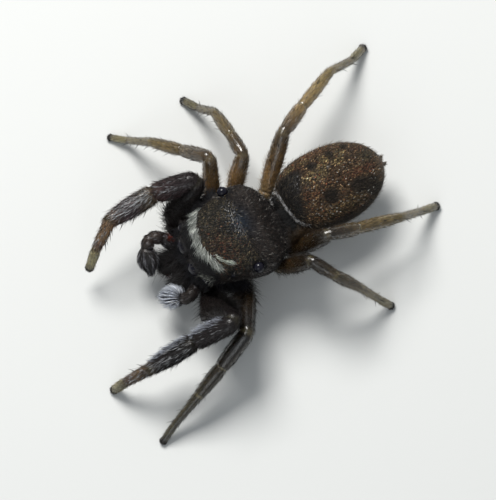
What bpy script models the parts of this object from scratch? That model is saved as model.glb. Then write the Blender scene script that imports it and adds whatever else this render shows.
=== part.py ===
"""A jumping spider at life size, standing on seven feet with its right foreleg raised.

The head points to -Y and the spider's left is +X. Every soft or jointed piece is a ring body: a
sphere primitive whose rings are moved along a limb or a trunk and given that section's radii.
Neighbouring segments are mitred through their joint, with a fine clearance between them.
"""

import math

import bmesh
import bpy
from mathutils import Matrix, Vector

MM = 0.001
CLEARANCE = 0.024 * MM      # between neighbouring pieces of an animal six millimetres long
SNAP = 0.003 * MM           # a cut this close to a corner runs through it
SIDES = {"left": 1, "right": -1}

# Trunk
CARAPACE_SIDES = 24
CARAPACE_FLOOR = 1.38 * MM          # the flat underside, just above the hips
CARAPACE_WAIST = 1.92 * MM          # the height at which the carapace is widest
CARAPACE_BOXINESS = 2.7             # 2 would make its sections ellipses
CARAPACE_FLATNESS = 1.15            # above 1 gives the lower half a flat underside
# Each section: distance behind the rear eyes, half width, top and underside, all in millimetres.
CARAPACE_SECTIONS = (
    (-1.71, 0.00, 1.92, 1.92),
    (-1.69, 0.58, 2.24, 1.58),
    (-1.61, 0.88, 2.44, 1.45),
    (-1.42, 1.05, 2.60, 1.38),
    (-1.08, 1.16, 2.72, 1.38),
    (-0.56, 1.30, 2.84, 1.38),
    (0.00, 1.44, 2.88, 1.38),
    (0.36, 1.46, 2.78, 1.38),
    (0.70, 1.35, 2.54, 1.38),
    (0.98, 1.11, 2.22, 1.38),
    (1.17, 0.76, 1.94, 1.50),
    (1.28, 0.36, 1.76, 1.60),
    (1.31, 0.00, 1.68, 1.68),
)
PEDICEL_RADIUS = 0.16 * MM
PEDICEL_ENDS = (Vector((0.0, 1.02, 1.14)) * MM, Vector((-0.12, 1.42, 1.43)) * MM)
ABDOMEN_FRONT = Vector((-0.165, 1.47, 1.80)) * MM
ABDOMEN_REAR = Vector((-0.42, 4.90, 1.38)) * MM
ABDOMEN_HALF_WIDTH = 1.225 * MM
ABDOMEN_HALF_HEIGHT = 0.96 * MM
ABDOMEN_FULLEST = 0.46              # fraction of its length where the abdomen is widest
ABDOMEN_RINGS = 15
ABDOMEN_SIDES = 20
SPINNERET_LENGTH = 0.22 * MM
SPINNERET_RADIUS = 0.20 * MM
SPINNERET_DROP = 0.10 * MM          # below the axis of the abdomen
STERNUM_CENTRE = Vector((0.0, -0.08, 1.07)) * MM
STERNUM_HALF = Vector((0.29, 0.84, 0.25)) * MM
STERNUM_TAPER = 0.35                # how much narrower it is behind
HIP_INNER_EDGE = 0.33 * MM          # the hips start this far from the middle line

# Eyes: centre on the left side, radius, and the faces around and along the ball
EYES = {
    "front_middle": (Vector((0.365, -1.565, 1.98)) * MM, 0.315 * MM, 12, 8),
    "front_side": (Vector((0.865, -1.45, 2.08)) * MM, 0.185 * MM, 10, 7),
    "rear_middle": (Vector((1.13, -0.76, 2.33)) * MM, 0.066 * MM, 8, 5),
    "rear_side": (Vector((1.29, 0.02, 2.50)) * MM, 0.165 * MM, 10, 7),
}

# Mouthparts
CHELICERA_BASE = Vector((0.285, -1.57, 1.15)) * MM
CHELICERA_TIP = Vector((0.33, -2.28, 0.68)) * MM
CHELICERA_GIRTHS = ((0.26, 0.30), (0.27, 0.355), (0.23, 0.27))      # base, middle and tip
FANG_PATH = (Vector((0.40, -2.40, 0.34)), Vector((0.24, -2.37, 0.28)), Vector((0.07, -2.28, 0.28)))
FANG_RADIUS = 0.07 * MM
ENDITE_CENTRE = Vector((0.165, -1.13, 0.93)) * MM
ENDITE_HALF = Vector((0.15, 0.17, 0.15)) * MM

# Palps, in millimetres. The right one reaches out: root, knee, patella end, wrist and tip. The left
# one is folded over in an arch between its root and its wrist.
RIGHT_PALP = ((-0.68, -1.88, 1.24), (-1.02, -2.09, 1.46), (-1.17, -2.42, 1.50), (-0.98, -2.68, 1.32),
              (-0.40, -2.80, 0.98))
LEFT_PALP_ROOT = Vector((0.68, -1.88, 1.24))
LEFT_PALP_WRIST = Vector((0.92, -2.32, 1.30))
LEFT_PALP_TIP = Vector((0.60, -2.72, 0.96))
PALP_ARCH_LEAN = Vector((0.40, 0.23, 0.89))     # the way the arch points
PALP_ARCH_STRAIGHT = 0.12                       # length of its legs
PALP_ARCH_STEPS = 5
PALP_RADIUS = 0.20 * MM
CYMBIUM_RADIUS = {"right": 0.30 * MM, "left": 0.36 * MM}

# Legs, front to rear: hip joint on the left, lengths of femur, patella, tibia, metatarsus, tarsus
HIPS = {1: (1.12, -1.66, 1.11), 2: (1.335, -0.33, 1.11), 3: (1.23, 0.555, 1.11), 4: (0.915, 1.23, 1.11)}
ROOTS = {1: (0.28, -0.80, 1.08), 2: (0.30, -0.30, 1.08), 3: (0.28, 0.17, 1.08), 4: (0.24, 0.67, 1.08)}
HIP_SWING = {("right", 2): 0.06, ("left", 2): -0.06, ("right", 3): -0.28, ("left", 3): 0.13}
LENGTHS = {
    1: (2.095, 1.45, 1.57, 1.045, 0.66),
    2: (1.91, 1.28, 1.11, 1.255, 0.46),
    3: (1.635, 0.81, 1.16, 1.035, 0.55),
    4: (2.185, 1.135, 1.57, 1.265, 0.66),
}
# Thickness: (half width, half height) at the hip, mid femur, knee, mid tibia, ankle and toe
THICKNESS = {
    1: ((0.24, 0.27), (0.26, 0.55), (0.29, 0.36), (0.29, 0.34), (0.24, 0.25), (0.225, 0.225)),
    2: ((0.24, 0.25), (0.25, 0.27), (0.24, 0.25), (0.235, 0.24), (0.225, 0.225), (0.22, 0.22)),
    3: ((0.23, 0.25), (0.25, 0.26), (0.235, 0.24), (0.23, 0.23), (0.225, 0.225), (0.22, 0.22)),
    4: ((0.23, 0.25), (0.265, 0.275), (0.24, 0.25), (0.235, 0.235), (0.225, 0.225), (0.22, 0.22)),
}
FOREFEMUR_BELLY = 0.25 * MM         # how far the swollen femur of a foreleg bulges below
# Pose: (heading, pitch) in degrees of femur, patella, tibia, metatarsus, tarsus; heading 0 is the
# spider's left and -90 straight ahead
POSE = {
    ("right", 1): ((123, 48), (-104, -21), (-83, -1), (-56, -38), (-51, -52)),
    ("left", 1): ((12, 47), (-95, -29), (-87, -19), (-97, -41), (-102, -49)),
    ("right", 2): ((160, 54), (-144, -43), (-138, -26), (-139, -51), (-131, -23)),
    ("left", 2): ((-26, 27), (-65, -25), (-67, -22), (-69, -30), (-64, -24)),
    ("right", 3): ((138, 40), (-178, -18), (-175, -30), (-151, -55), (-152, -37)),
    ("left", 3): ((58, 52), (34, -5), (51, -46), (53, -58), (52, -45)),
    ("right", 4): ((136, 34), (123, -20), (120, -17), (107, -47), (120, -31)),
    ("left", 4): ((67, 58), (87, -34), (86, -25), (101, -54), (98, -41)),
}
RAISED_LEGS = {("right", 1)}
TOE_HEIGHT = 0.17 * MM              # centre of the toe above the floor
LEG_SIDES = 8
FINE_SIDES = 10                     # around the chelicerae and the pedicel

COLOURS = {
    "carapace": (0.035, 0.022, 0.015), "abdomen": (0.115, 0.060, 0.028), "sternum": (0.05, 0.03, 0.02),
    "limb": (0.13, 0.062, 0.026), "foreleg": (0.045, 0.026, 0.022), "eye": (0.004, 0.004, 0.006),
    "fang": (0.06, 0.012, 0.006), "hair": (0.34, 0.31, 0.26),
}


def clear_scene():
    """Remove every object the file opened with."""
    for item in list(bpy.data.objects):
        bpy.data.objects.remove(item, do_unlink=True)


def material(name, roughness=0.45, metallic=0.0):
    """The named material, made once."""
    found = bpy.data.materials.get(name)
    if found:
        return found
    made = bpy.data.materials.new(name)
    made.use_nodes = True
    shader = made.node_tree.nodes["Principled BSDF"]
    shader.inputs["Base Color"].default_value = (*COLOURS[name], 1.0)
    shader.inputs["Roughness"].default_value = roughness
    shader.inputs["Metallic"].default_value = metallic
    return made


def collection(name):
    """The named collection, made once and linked to the scene."""
    found = bpy.data.collections.get(name)
    if not found:
        found = bpy.data.collections.new(name)
        bpy.context.scene.collection.children.link(found)
    return found


def piece(name, shape, finish, group="jumping_spider"):
    """Turn a bmesh into an object of its own."""
    bmesh.ops.recalc_face_normals(shape, faces=shape.faces)
    if shape.calc_volume(signed=True) < 0:
        bmesh.ops.reverse_faces(shape, faces=shape.faces)
    mesh = bpy.data.meshes.new(name)
    shape.to_mesh(mesh)
    shape.free()
    mesh.materials.append(finish)
    mesh.shade_smooth()
    mesh.set_sharp_from_angle(angle=math.radians(50))
    made = bpy.data.objects.new(name, mesh)
    collection(group).objects.link(made)
    return made


class Ring:
    """One section: its centre, its two axes and its half sizes along them."""

    def __init__(self, centre, across, upward, half_width, half_height):
        self.centre = centre
        self.across = across
        self.upward = upward
        self.half_width = half_width
        self.half_height = half_height

    def point(self, angle):
        """The point of the section at an angle about its centre."""
        return (self.centre + self.across * (self.half_width * math.cos(angle))
                + self.upward * (self.half_height * math.sin(angle)))


def ring_body(rings, sides):
    """A sphere primitive with one of its rings laid on each section; the first and last are points."""
    shape = bmesh.new()
    bmesh.ops.create_uvsphere(shape, u_segments=sides, v_segments=len(rings) - 1, radius=1.0)
    for corner in shape.verts:
        polar = math.acos(max(-1.0, min(1.0, corner.co.z)))
        number = round(polar / math.pi * (len(rings) - 1))
        corner.co = rings[number].point(math.atan2(corner.co.y, corner.co.x))
    return shape


def cut(shape, point, normal):
    """Remove what lies beyond a plane, on the side its normal points to, and close the cut."""
    geometry = shape.verts[:] + shape.edges[:] + shape.faces[:]
    result = bmesh.ops.bisect_plane(
        shape, geom=geometry, dist=SNAP, plane_co=point, plane_no=normal, clear_outer=True)
    rim = [item for item in result["geom_cut"] if isinstance(item, bmesh.types.BMEdge)]
    bmesh.ops.holes_fill(shape, edges=rim, sides=0)


def blend(first, second, amount):
    """Mix two (half width, half height) pairs."""
    return tuple(a + (b - a) * amount for a, b in zip(first, second))


def limb_rings(joints, girths, per_bone, first_cap=2, last_cap=2, hinge=Vector((0, 0, 0)), belly=0.0):
    """Sections along a chain of joints, with round ends. girths[i] are the (start, middle, end)
    thicknesses of bone i. The half width lies along the hinge axis, or level without one. A belly
    shifts the middle of the bone towards the inside of the knee's bend."""
    directions = [(b - a).normalized() for a, b in zip(joints, joints[1:])]
    stations = []
    for bone, (start, end) in enumerate(zip(joints, joints[1:])):
        for step in range(per_bone + 1):
            if bone and not step:
                continue
            amount = step / per_bone
            begin, middle, finish = girths[bone]
            girth = blend(begin, middle, amount * 2) if amount < 0.5 else blend(middle, finish, amount * 2 - 1)
            heading = directions[bone]
            if step == per_bone and bone + 1 < len(directions):
                heading = (directions[bone] + directions[bone + 1]).normalized()
            stations.append((start.lerp(end, amount), heading, girth))
    caps = []
    for (centre, heading, girth), sign, count in ((stations[0], -1, first_cap), (stations[-1], 1, last_cap)):
        cap = []
        for step in range(1, count + 2):
            turn = math.pi / 2 * step / (count + 1)
            reach = heading * sign * min(girth) * math.sin(turn)
            shrink = 0.0 if step == count + 1 else math.cos(turn)
            cap.append((centre + reach, heading, tuple(size * shrink for size in girth)))
        caps.append(cap)
    rings = []
    for centre, heading, girth in caps[0][::-1] + stations + caps[1]:
        level = heading.cross(Vector((0, 0, 1)))
        across = ((hinge - heading * hinge.dot(heading)) if hinge.length else level).normalized()
        inward = across.cross(heading)
        along = (centre - joints[0]).length / (joints[-1] - joints[0]).length
        shift = inward * (belly * math.sin(math.pi * min(1.0, along)))
        rings.append(Ring(centre + shift, across, inward, *girth))
    return rings


def mitre(shape, joint, incoming, outgoing, keep_incoming):
    """Cut a segment at a joint with the plane that halves the bend, less half the clearance."""
    normal = (incoming + outgoing).normalized()
    if not keep_incoming:
        normal = -normal
    cut(shape, joint - normal * (CLEARANCE / 2), normal)


def leg_joints(side, number):
    """Root, hip, knee, patella end, tibia end, ankle and toe of one leg."""
    mirror = Vector((SIDES[side], 1, 1))
    swing = Vector((0, HIP_SWING.get((side, number), 0.0), 0))
    joints = [Vector(ROOTS[number]) * mirror * MM, (Vector(HIPS[number]) * mirror + swing) * MM]
    for bone, (heading, pitch) in enumerate(POSE[side, number]):
        length = LENGTHS[number][bone] * MM
        pitch = math.radians(pitch)
        if bone == 4 and (side, number) not in RAISED_LEGS:
            pitch = math.asin((TOE_HEIGHT - joints[-1].z) / length)
        heading = math.radians(heading)
        step = Vector((math.cos(heading) * math.cos(pitch), math.sin(heading) * math.cos(pitch), math.sin(pitch)))
        joints.append(joints[-1] + step * length)
    return joints


def add_leg(side, number):
    """Coxa, femur, shin (patella and tibia) and foot (metatarsus and tarsus) of one leg."""
    finish = material("foreleg" if number == 1 else "limb")
    joints = leg_joints(side, number)
    heading = [(b - a).normalized() for a, b in zip(joints, joints[1:])]
    hip, femur, knee, tibia, ankle, toe = [tuple(size * MM for size in pair) for pair in THICKNESS[number]]
    hinge = heading[1].cross(heading[2]).normalized()
    base = f"leg_{number}_{side}"

    coxa = ring_body(limb_rings(joints[:2], [(hip, hip, hip)], 2, first_cap=0), LEG_SIDES)
    cut(coxa, Vector((SIDES[side] * HIP_INNER_EDGE, 0, 0)), Vector((-SIDES[side], 0, 0)))
    mitre(coxa, joints[1], heading[0], heading[1], True)
    piece(f"{base}_coxa", coxa, finish)

    belly = FOREFEMUR_BELLY if number == 1 else 0.0
    thigh = ring_body(limb_rings(joints[1:3], [(hip, femur, knee)], 4, hinge=hinge, belly=belly), LEG_SIDES)
    mitre(thigh, joints[1], heading[0], heading[1], False)
    mitre(thigh, joints[2], heading[1], heading[2], True)
    piece(f"{base}_femur", thigh, finish)

    joint = blend(knee, tibia, 0.6)
    girths = [(knee, knee, joint), (joint, tibia, ankle)]
    shin = ring_body(limb_rings(joints[2:5], girths, 3, hinge=hinge), LEG_SIDES)
    mitre(shin, joints[2], heading[1], heading[2], False)
    mitre(shin, joints[4], heading[3], heading[4], True)
    piece(f"{base}_shin", shin, finish)

    middle = blend(ankle, toe, 0.5)
    foot = ring_body(limb_rings(joints[4:], [(ankle, middle, toe), (toe, toe, toe)], 2), LEG_SIDES)
    mitre(foot, joints[4], heading[3], heading[4], False)
    if (side, number) not in RAISED_LEGS:
        cut(foot, Vector((0, 0, 0)), Vector((0, 0, -1)))
        for corner in foot.verts:
            corner.co.z = 0.0 if corner.co.z < 2 * SNAP else corner.co.z
    piece(f"{base}_foot", foot, finish)


def palp_joints(side):
    """Points along a palp from its root to its wrist, and the tip of its cymbium."""
    if side == "right":
        return [Vector(joint) * MM for joint in RIGHT_PALP]
    lean = PALP_ARCH_LEAN.normalized()
    middle = (LEFT_PALP_ROOT + LEFT_PALP_WRIST) / 2 + lean * PALP_ARCH_STRAIGHT
    span = (LEFT_PALP_WRIST - LEFT_PALP_ROOT) / 2
    joints = [LEFT_PALP_ROOT]
    for step in range(PALP_ARCH_STEPS + 1):
        turn = math.pi * step / PALP_ARCH_STEPS
        joints.append(middle - span * math.cos(turn) + lean * (span.length * math.sin(turn)))
    return [joint * MM for joint in joints + [LEFT_PALP_WRIST, LEFT_PALP_TIP]]


def add_palp(side):
    """The palp's limb and its swollen cymbium."""
    joints = palp_joints(side)
    heading = [(b - a).normalized() for a, b in zip(joints, joints[1:])]
    thick = (PALP_RADIUS, PALP_RADIUS)
    bulb = (CYMBIUM_RADIUS[side], CYMBIUM_RADIUS[side])
    bones = len(joints) - 2
    per_bone = 2 if side == "right" else 1
    limb = ring_body(limb_rings(joints[:-1], [(thick, thick, thick)] * bones, per_bone), LEG_SIDES)
    mitre(limb, joints[-2], heading[-2], heading[-1], True)
    piece(f"palp_{side}_limb", limb, material("foreleg"))
    tip = blend(bulb, thick, 0.7)
    cymbium = ring_body(limb_rings(joints[-2:], [(thick, bulb, tip)], 4), LEG_SIDES)
    mitre(cymbium, joints[-2], heading[-2], heading[-1], False)
    piece(f"palp_{side}_cymbium", cymbium, material("hair", roughness=0.8))


def add_mouthparts(side):
    """Chelicera, fang and endite of one side."""
    mirror = Vector((SIDES[side], 1, 1))
    base = CHELICERA_BASE * mirror
    tip = CHELICERA_TIP * mirror
    girths = [tuple(size * MM for size in pair) for pair in CHELICERA_GIRTHS]
    chelicera = ring_body(limb_rings([base, tip], [girths], 4), FINE_SIDES)
    cut(chelicera, Vector((0, 0, CARAPACE_FLOOR - CLEARANCE)), Vector((0, 0, 1)))
    piece(f"chelicera_{side}", chelicera, material("foreleg"))

    path = [point * mirror * MM for point in FANG_PATH]
    root = (FANG_RADIUS, FANG_RADIUS)
    bend = blend(root, (0, 0), 0.35)
    point = blend(root, (0, 0), 0.8)
    fang = ring_body(limb_rings(path, [(root, root, bend), (bend, bend, point)], 2, 1, 1), LEG_SIDES)
    piece(f"fang_{side}", fang, material("fang", roughness=0.2))

    endite = bmesh.new()
    bmesh.ops.create_uvsphere(endite, u_segments=FINE_SIDES, v_segments=6, radius=1.0)
    bmesh.ops.scale(endite, vec=ENDITE_HALF, verts=endite.verts)
    bmesh.ops.translate(endite, vec=ENDITE_CENTRE * mirror, verts=endite.verts)
    piece(f"endite_{side}", endite, material("sternum"))


class CarapaceRing:
    """A section of the carapace: boxy above, straight sided and flat below."""

    def __init__(self, distance, half_width, top, underside):
        self.distance = distance * MM
        self.half_width = half_width * MM
        self.rise = top * MM - CARAPACE_WAIST
        self.fall = underside * MM - CARAPACE_WAIST

    def point(self, angle):
        """The point of the section at an angle about the waist."""
        across = math.copysign(abs(math.cos(angle)) ** (2 / CARAPACE_BOXINESS), math.cos(angle))
        share = abs(math.sin(angle)) ** (2 / CARAPACE_BOXINESS)
        height = self.rise * share
        if math.sin(angle) < 0:
            height = self.fall * min(1.0, CARAPACE_FLATNESS * share)
        return Vector((self.half_width * across, self.distance, CARAPACE_WAIST + height))


def add_carapace():
    """The head and thorax under one high shield, with a socket for each eye."""
    rings = [CarapaceRing(*section) for section in CARAPACE_SECTIONS]
    shield = piece("carapace", ring_body(rings, CARAPACE_SIDES), material("carapace", roughness=0.35))
    for name, (centre, radius, around, rows) in EYES.items():
        for side, mirror in SIDES.items():
            place = centre * Vector((mirror, 1, 1))
            ball = bmesh.new()
            bmesh.ops.create_uvsphere(ball, u_segments=around, v_segments=rows, radius=radius,
                                      matrix=Matrix.Rotation(math.pi / 2, 4, "X"))
            bmesh.ops.translate(ball, vec=place, verts=ball.verts)
            socket = ball.copy()
            bmesh.ops.scale(socket, vec=Vector((1, 1, 1)) * (1 + CLEARANCE / radius),
                            space=Matrix.Translation(-place), verts=socket.verts)
            piece(f"eye_{name}_{side}", ball, material("eye", roughness=0.05))
            cutter = piece(f"socket_{name}_{side}", socket, material("eye"), "cutters")
            cutter.hide_render = True
            cutter.display_type = "WIRE"
            hollow = shield.modifiers.new(cutter.name, "BOOLEAN")
            hollow.operation = "DIFFERENCE"
            hollow.object = cutter


def abdomen_girth(along):
    """Half width of the abdomen as a share of its greatest, at a fraction of its length. The front is
    blunter than an ellipse and the rear a little fuller than one."""
    if along < ABDOMEN_FULLEST:
        return (1 - (1 - along / ABDOMEN_FULLEST) ** 2.8) ** (1 / 2.5)
    return (1 - ((along - ABDOMEN_FULLEST) / (1 - ABDOMEN_FULLEST)) ** 2.2) ** 0.52


def add_abdomen():
    """The egg-shaped abdomen, blunt in front, with the spinnerets behind it."""
    axis = ABDOMEN_REAR - ABDOMEN_FRONT
    across = axis.cross(Vector((0, 0, 1))).normalized()
    upward = across.cross(axis).normalized()
    rings = []
    for step in range(ABDOMEN_RINGS + 1):
        along = (1 - math.cos(math.pi * step / ABDOMEN_RINGS)) / 2
        girth = 0.0 if step in (0, ABDOMEN_RINGS) else abdomen_girth(along)
        rings.append(Ring(ABDOMEN_FRONT + axis * along, across, upward,
                          ABDOMEN_HALF_WIDTH * girth, ABDOMEN_HALF_HEIGHT * girth))
    piece("abdomen", ring_body(rings, ABDOMEN_SIDES), material("abdomen"))

    away = axis.normalized()
    start = ABDOMEN_REAR + away * CLEARANCE - upward * SPINNERET_DROP
    girth = (SPINNERET_RADIUS, SPINNERET_RADIUS)
    thin = blend(girth, (0, 0), 0.4)
    rings = limb_rings([start, start + away * SPINNERET_LENGTH], [(girth, girth, thin)], 2, 1, 1)
    shape = ring_body(rings, FINE_SIDES)
    cut(shape, start, -away)
    piece("spinnerets", shape, material("limb"))


def add_pedicel():
    """The narrow stalk between thorax and abdomen."""
    front, rear = PEDICEL_ENDS
    girth = (PEDICEL_RADIUS, PEDICEL_RADIUS)
    stalk = ring_body(limb_rings([front, rear], [(girth, girth, girth)], 2, 1, 1), FINE_SIDES)
    cut(stalk, rear, (ABDOMEN_REAR - ABDOMEN_FRONT).normalized())
    piece("pedicel", stalk, material("limb"))


def add_sternum():
    """The heart-shaped plate between the hips."""
    plate = bmesh.new()
    bmesh.ops.create_uvsphere(plate, u_segments=16, v_segments=8, radius=1.0)
    for corner in plate.verts:
        corner.co.x *= 1 - STERNUM_TAPER * max(0.0, corner.co.y) ** 2
    bmesh.ops.scale(plate, vec=STERNUM_HALF, verts=plate.verts)
    bmesh.ops.translate(plate, vec=STERNUM_CENTRE, verts=plate.verts)
    piece("sternum", plate, material("sternum"))


def centre_on_floor():
    """Carry every piece on one empty, placed so that the model's box is centred over the origin."""
    parts = list(collection("jumping_spider").objects)
    cutters = list(collection("cutters").objects)
    corners = [corner.co for part in parts for corner in part.data.vertices]
    middle = [(min(c[i] for c in corners) + max(c[i] for c in corners)) / 2 for i in (0, 1)]
    stand = bpy.data.objects.new("whole_spider", None)
    stand.location = (-middle[0], -middle[1], 0)
    collection("jumping_spider").objects.link(stand)
    for item in parts + cutters:
        item.parent = stand


def main():
    clear_scene()
    add_carapace()
    add_abdomen()
    add_pedicel()
    add_sternum()
    for side in SIDES:
        add_mouthparts(side)
        add_palp(side)
        for number in HIPS:
            add_leg(side, number)
    centre_on_floor()


main()
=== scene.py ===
"""The looks of a life-size jumping spider: its skin, eyes, scales and hairs, on the fixed frame."""

import math

import bmesh
import bpy
import numpy as np
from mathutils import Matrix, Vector


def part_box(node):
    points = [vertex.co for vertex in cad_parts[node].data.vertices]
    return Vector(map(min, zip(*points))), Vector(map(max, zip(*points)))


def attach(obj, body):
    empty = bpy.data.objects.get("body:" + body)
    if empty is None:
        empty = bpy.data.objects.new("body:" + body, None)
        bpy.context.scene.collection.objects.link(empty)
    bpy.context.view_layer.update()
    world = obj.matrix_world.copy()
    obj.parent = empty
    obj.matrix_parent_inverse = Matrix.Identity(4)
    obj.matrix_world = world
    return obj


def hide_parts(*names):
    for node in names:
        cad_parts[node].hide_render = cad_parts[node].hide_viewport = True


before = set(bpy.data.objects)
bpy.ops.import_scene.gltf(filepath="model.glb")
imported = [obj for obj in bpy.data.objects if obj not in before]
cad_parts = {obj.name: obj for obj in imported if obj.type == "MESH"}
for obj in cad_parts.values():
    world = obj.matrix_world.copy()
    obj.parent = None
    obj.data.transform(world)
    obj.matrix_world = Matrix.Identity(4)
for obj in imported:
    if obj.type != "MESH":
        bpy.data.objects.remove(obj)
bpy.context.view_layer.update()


# ---- Stage -------------------------------------------------------------------------------------
# A plain pale floor, one large soft lamp from the spider's right, a weak fill and a pale room. The
# camera stands high on the spider's left front, far away behind a long lens.
MM = 0.001
eye_low, eye_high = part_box("eye_rear_side_right")[0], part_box("eye_rear_side_left")[1]
under_the_eyes = Vector(((eye_low.x + eye_high.x) / 2, (eye_low.y + eye_high.y) / 2 - 0.02 * MM, 0))


def spot(x, y, z):
    """A point in millimetres left of, behind and above the place on the floor below the rear eyes."""
    return under_the_eyes + Vector((x, y, z)) * MM


def aim(thing, place, target):
    """Put a lamp or the camera at a place and point it at a target."""
    thing.location = place
    thing.rotation_mode = "QUATERNION"
    thing.rotation_quaternion = (target - place).to_track_quat("-Z", "Y")


def plain_material(name, colour, roughness):
    """A material with its Principled shader, its node tree and that shader's inputs."""
    made = bpy.data.materials.new(name)
    made.use_nodes = True
    shader = made.node_tree.nodes["Principled BSDF"]
    shader.inputs["Base Color"].default_value = (*colour, 1.0)
    shader.inputs["Roughness"].default_value = roughness
    return made, made.node_tree, shader.inputs


CAMERA_AZIMUTH, CAMERA_ELEVATION = math.radians(64.7), math.radians(75.5)
VIEW_HEIGHT = 15.0 * MM
LENS, SENSOR = 1000.0, 36.0
look_at = spot(0.641, -0.037, 2.396)
toward_camera = Vector((math.sin(CAMERA_AZIMUTH) * math.cos(CAMERA_ELEVATION),
                        -math.cos(CAMERA_AZIMUTH) * math.cos(CAMERA_ELEVATION),
                        math.sin(CAMERA_ELEVATION)))
camera_distance = VIEW_HEIGHT * LENS / SENSOR
camera = bpy.data.objects.new("camera", bpy.data.cameras.new("camera"))
bpy.context.scene.collection.objects.link(camera)
camera.data.lens, camera.data.sensor_width = LENS, SENSOR
camera.data.clip_start, camera.data.clip_end = 1 * MM, 2.0
aim(camera, look_at + toward_camera * camera_distance, look_at)
bpy.context.scene.camera = camera
bpy.context.scene.view_settings.view_transform = "Standard"


def soft_lamp(name, direction, distance, size, power, colour):
    """A square soft lamp that shines on the spider from a direction."""
    lamp = bpy.data.objects.new(name, bpy.data.lights.new(name, "AREA"))
    lamp.data.size, lamp.data.energy, lamp.data.color = size, power, colour
    bpy.context.scene.collection.objects.link(lamp)
    middle = spot(0, 0.4, 1.2)
    aim(lamp, middle + Vector(direction).normalized() * distance, middle)


soft_lamp("key_lamp", (-0.60, 0.02, 0.80), 120 * MM, 55 * MM, 0.20, (1.0, 0.985, 0.96))
soft_lamp("fill_lamp", (0.65, -0.55, 0.75), 150 * MM, 120 * MM, 0.05, (0.93, 0.97, 1.0))
room = bpy.data.worlds.new("room")
room.use_nodes = True
room.node_tree.nodes["Background"].inputs["Color"].default_value = (0.90, 0.95, 1.0, 1)
room.node_tree.nodes["Background"].inputs["Strength"].default_value = 0.30
bpy.context.scene.world = room

floor_shape = bmesh.new()
bmesh.ops.create_grid(floor_shape, x_segments=2, y_segments=2, size=400 * MM)
floor_mesh = bpy.data.meshes.new("floor")
floor_shape.to_mesh(floor_mesh)
floor_shape.free()
floor_mesh.materials.append(plain_material("pale_floor", (0.62, 0.63, 0.62), 0.9)[0])
floor = bpy.data.objects.new("floor", floor_mesh)
bpy.context.scene.collection.objects.link(floor)


# ---- Legs --------------------------------------------------------------------------------------
# Eight legs of thin horny skin: coxa, trochanter, femur, patella, tibia, metatarsus and tarsus, each
# a stiff tube with a cuff that takes the next one. The skin is one piece from hip to toe, pinched
# and paler where the tubes bend on a soft membrane.
def through(keys, values, at):
    """A smooth curve through key values."""
    keys, values, at = (np.asarray(x, float) for x in (keys, values, at))
    slope = np.gradient(values, keys, axis=0)
    i = np.clip(np.searchsorted(keys, at, side="right") - 1, 0, len(keys) - 2)
    width = keys[i + 1] - keys[i]
    t = (at - keys[i]) / width
    if values.ndim > 1:
        t, width = t[:, None], width[:, None]
    return ((2 * t ** 3 - 3 * t ** 2 + 1) * values[i] + (t ** 3 - 2 * t ** 2 + t) * width * slope[i]
            + (3 * t ** 2 - 2 * t ** 3) * values[i + 1] + (t ** 3 - t ** 2) * width * slope[i + 1])


def unit(vectors):
    """Vectors of length one."""
    vectors = np.asarray(vectors, float)
    return vectors / np.maximum(np.linalg.norm(vectors, axis=-1, keepdims=True), 1e-12)


def rounded_path(joints, radius, at):
    """Centre and heading at distances along a chain of bones whose corners are rounded."""
    joints = np.array(joints, float)
    lengths = np.linalg.norm(np.diff(joints, axis=0), axis=1)
    heads = np.diff(joints, axis=0) / lengths[:, None]
    corner = np.concatenate([[0], np.cumsum(lengths)])
    centres, headings = [], []
    for distance in at:
        bone = int(np.clip(np.searchsorted(corner, distance, side="right") - 1, 0, len(heads) - 1))
        centre, heading = joints[bone] + heads[bone] * (distance - corner[bone]), heads[bone]
        for j in (bone, bone + 1):
            if not 0 < j < len(heads):
                continue
            turn = math.acos(np.clip(heads[j - 1] @ heads[j], -1, 1))
            if turn < 0.02:
                continue
            reach = min(radius * math.tan(turn / 2), 0.42 * min(lengths[j - 1], lengths[j]))
            off = distance - corner[j]
            if abs(off) < reach:
                bend = reach / math.tan(turn / 2)
                inner, onward = unit(heads[j] - heads[j - 1]), unit(heads[j - 1] + heads[j])
                swing = off / reach * turn / 2
                middle = joints[j] + inner * (bend / math.cos(turn / 2))
                centre = middle + bend * (onward * math.sin(swing) - inner * math.cos(swing))
                heading = onward * math.cos(swing) + inner * math.sin(swing)
        centres.append(centre)
        headings.append(heading)
    return np.array(centres), np.array(headings)


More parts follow.
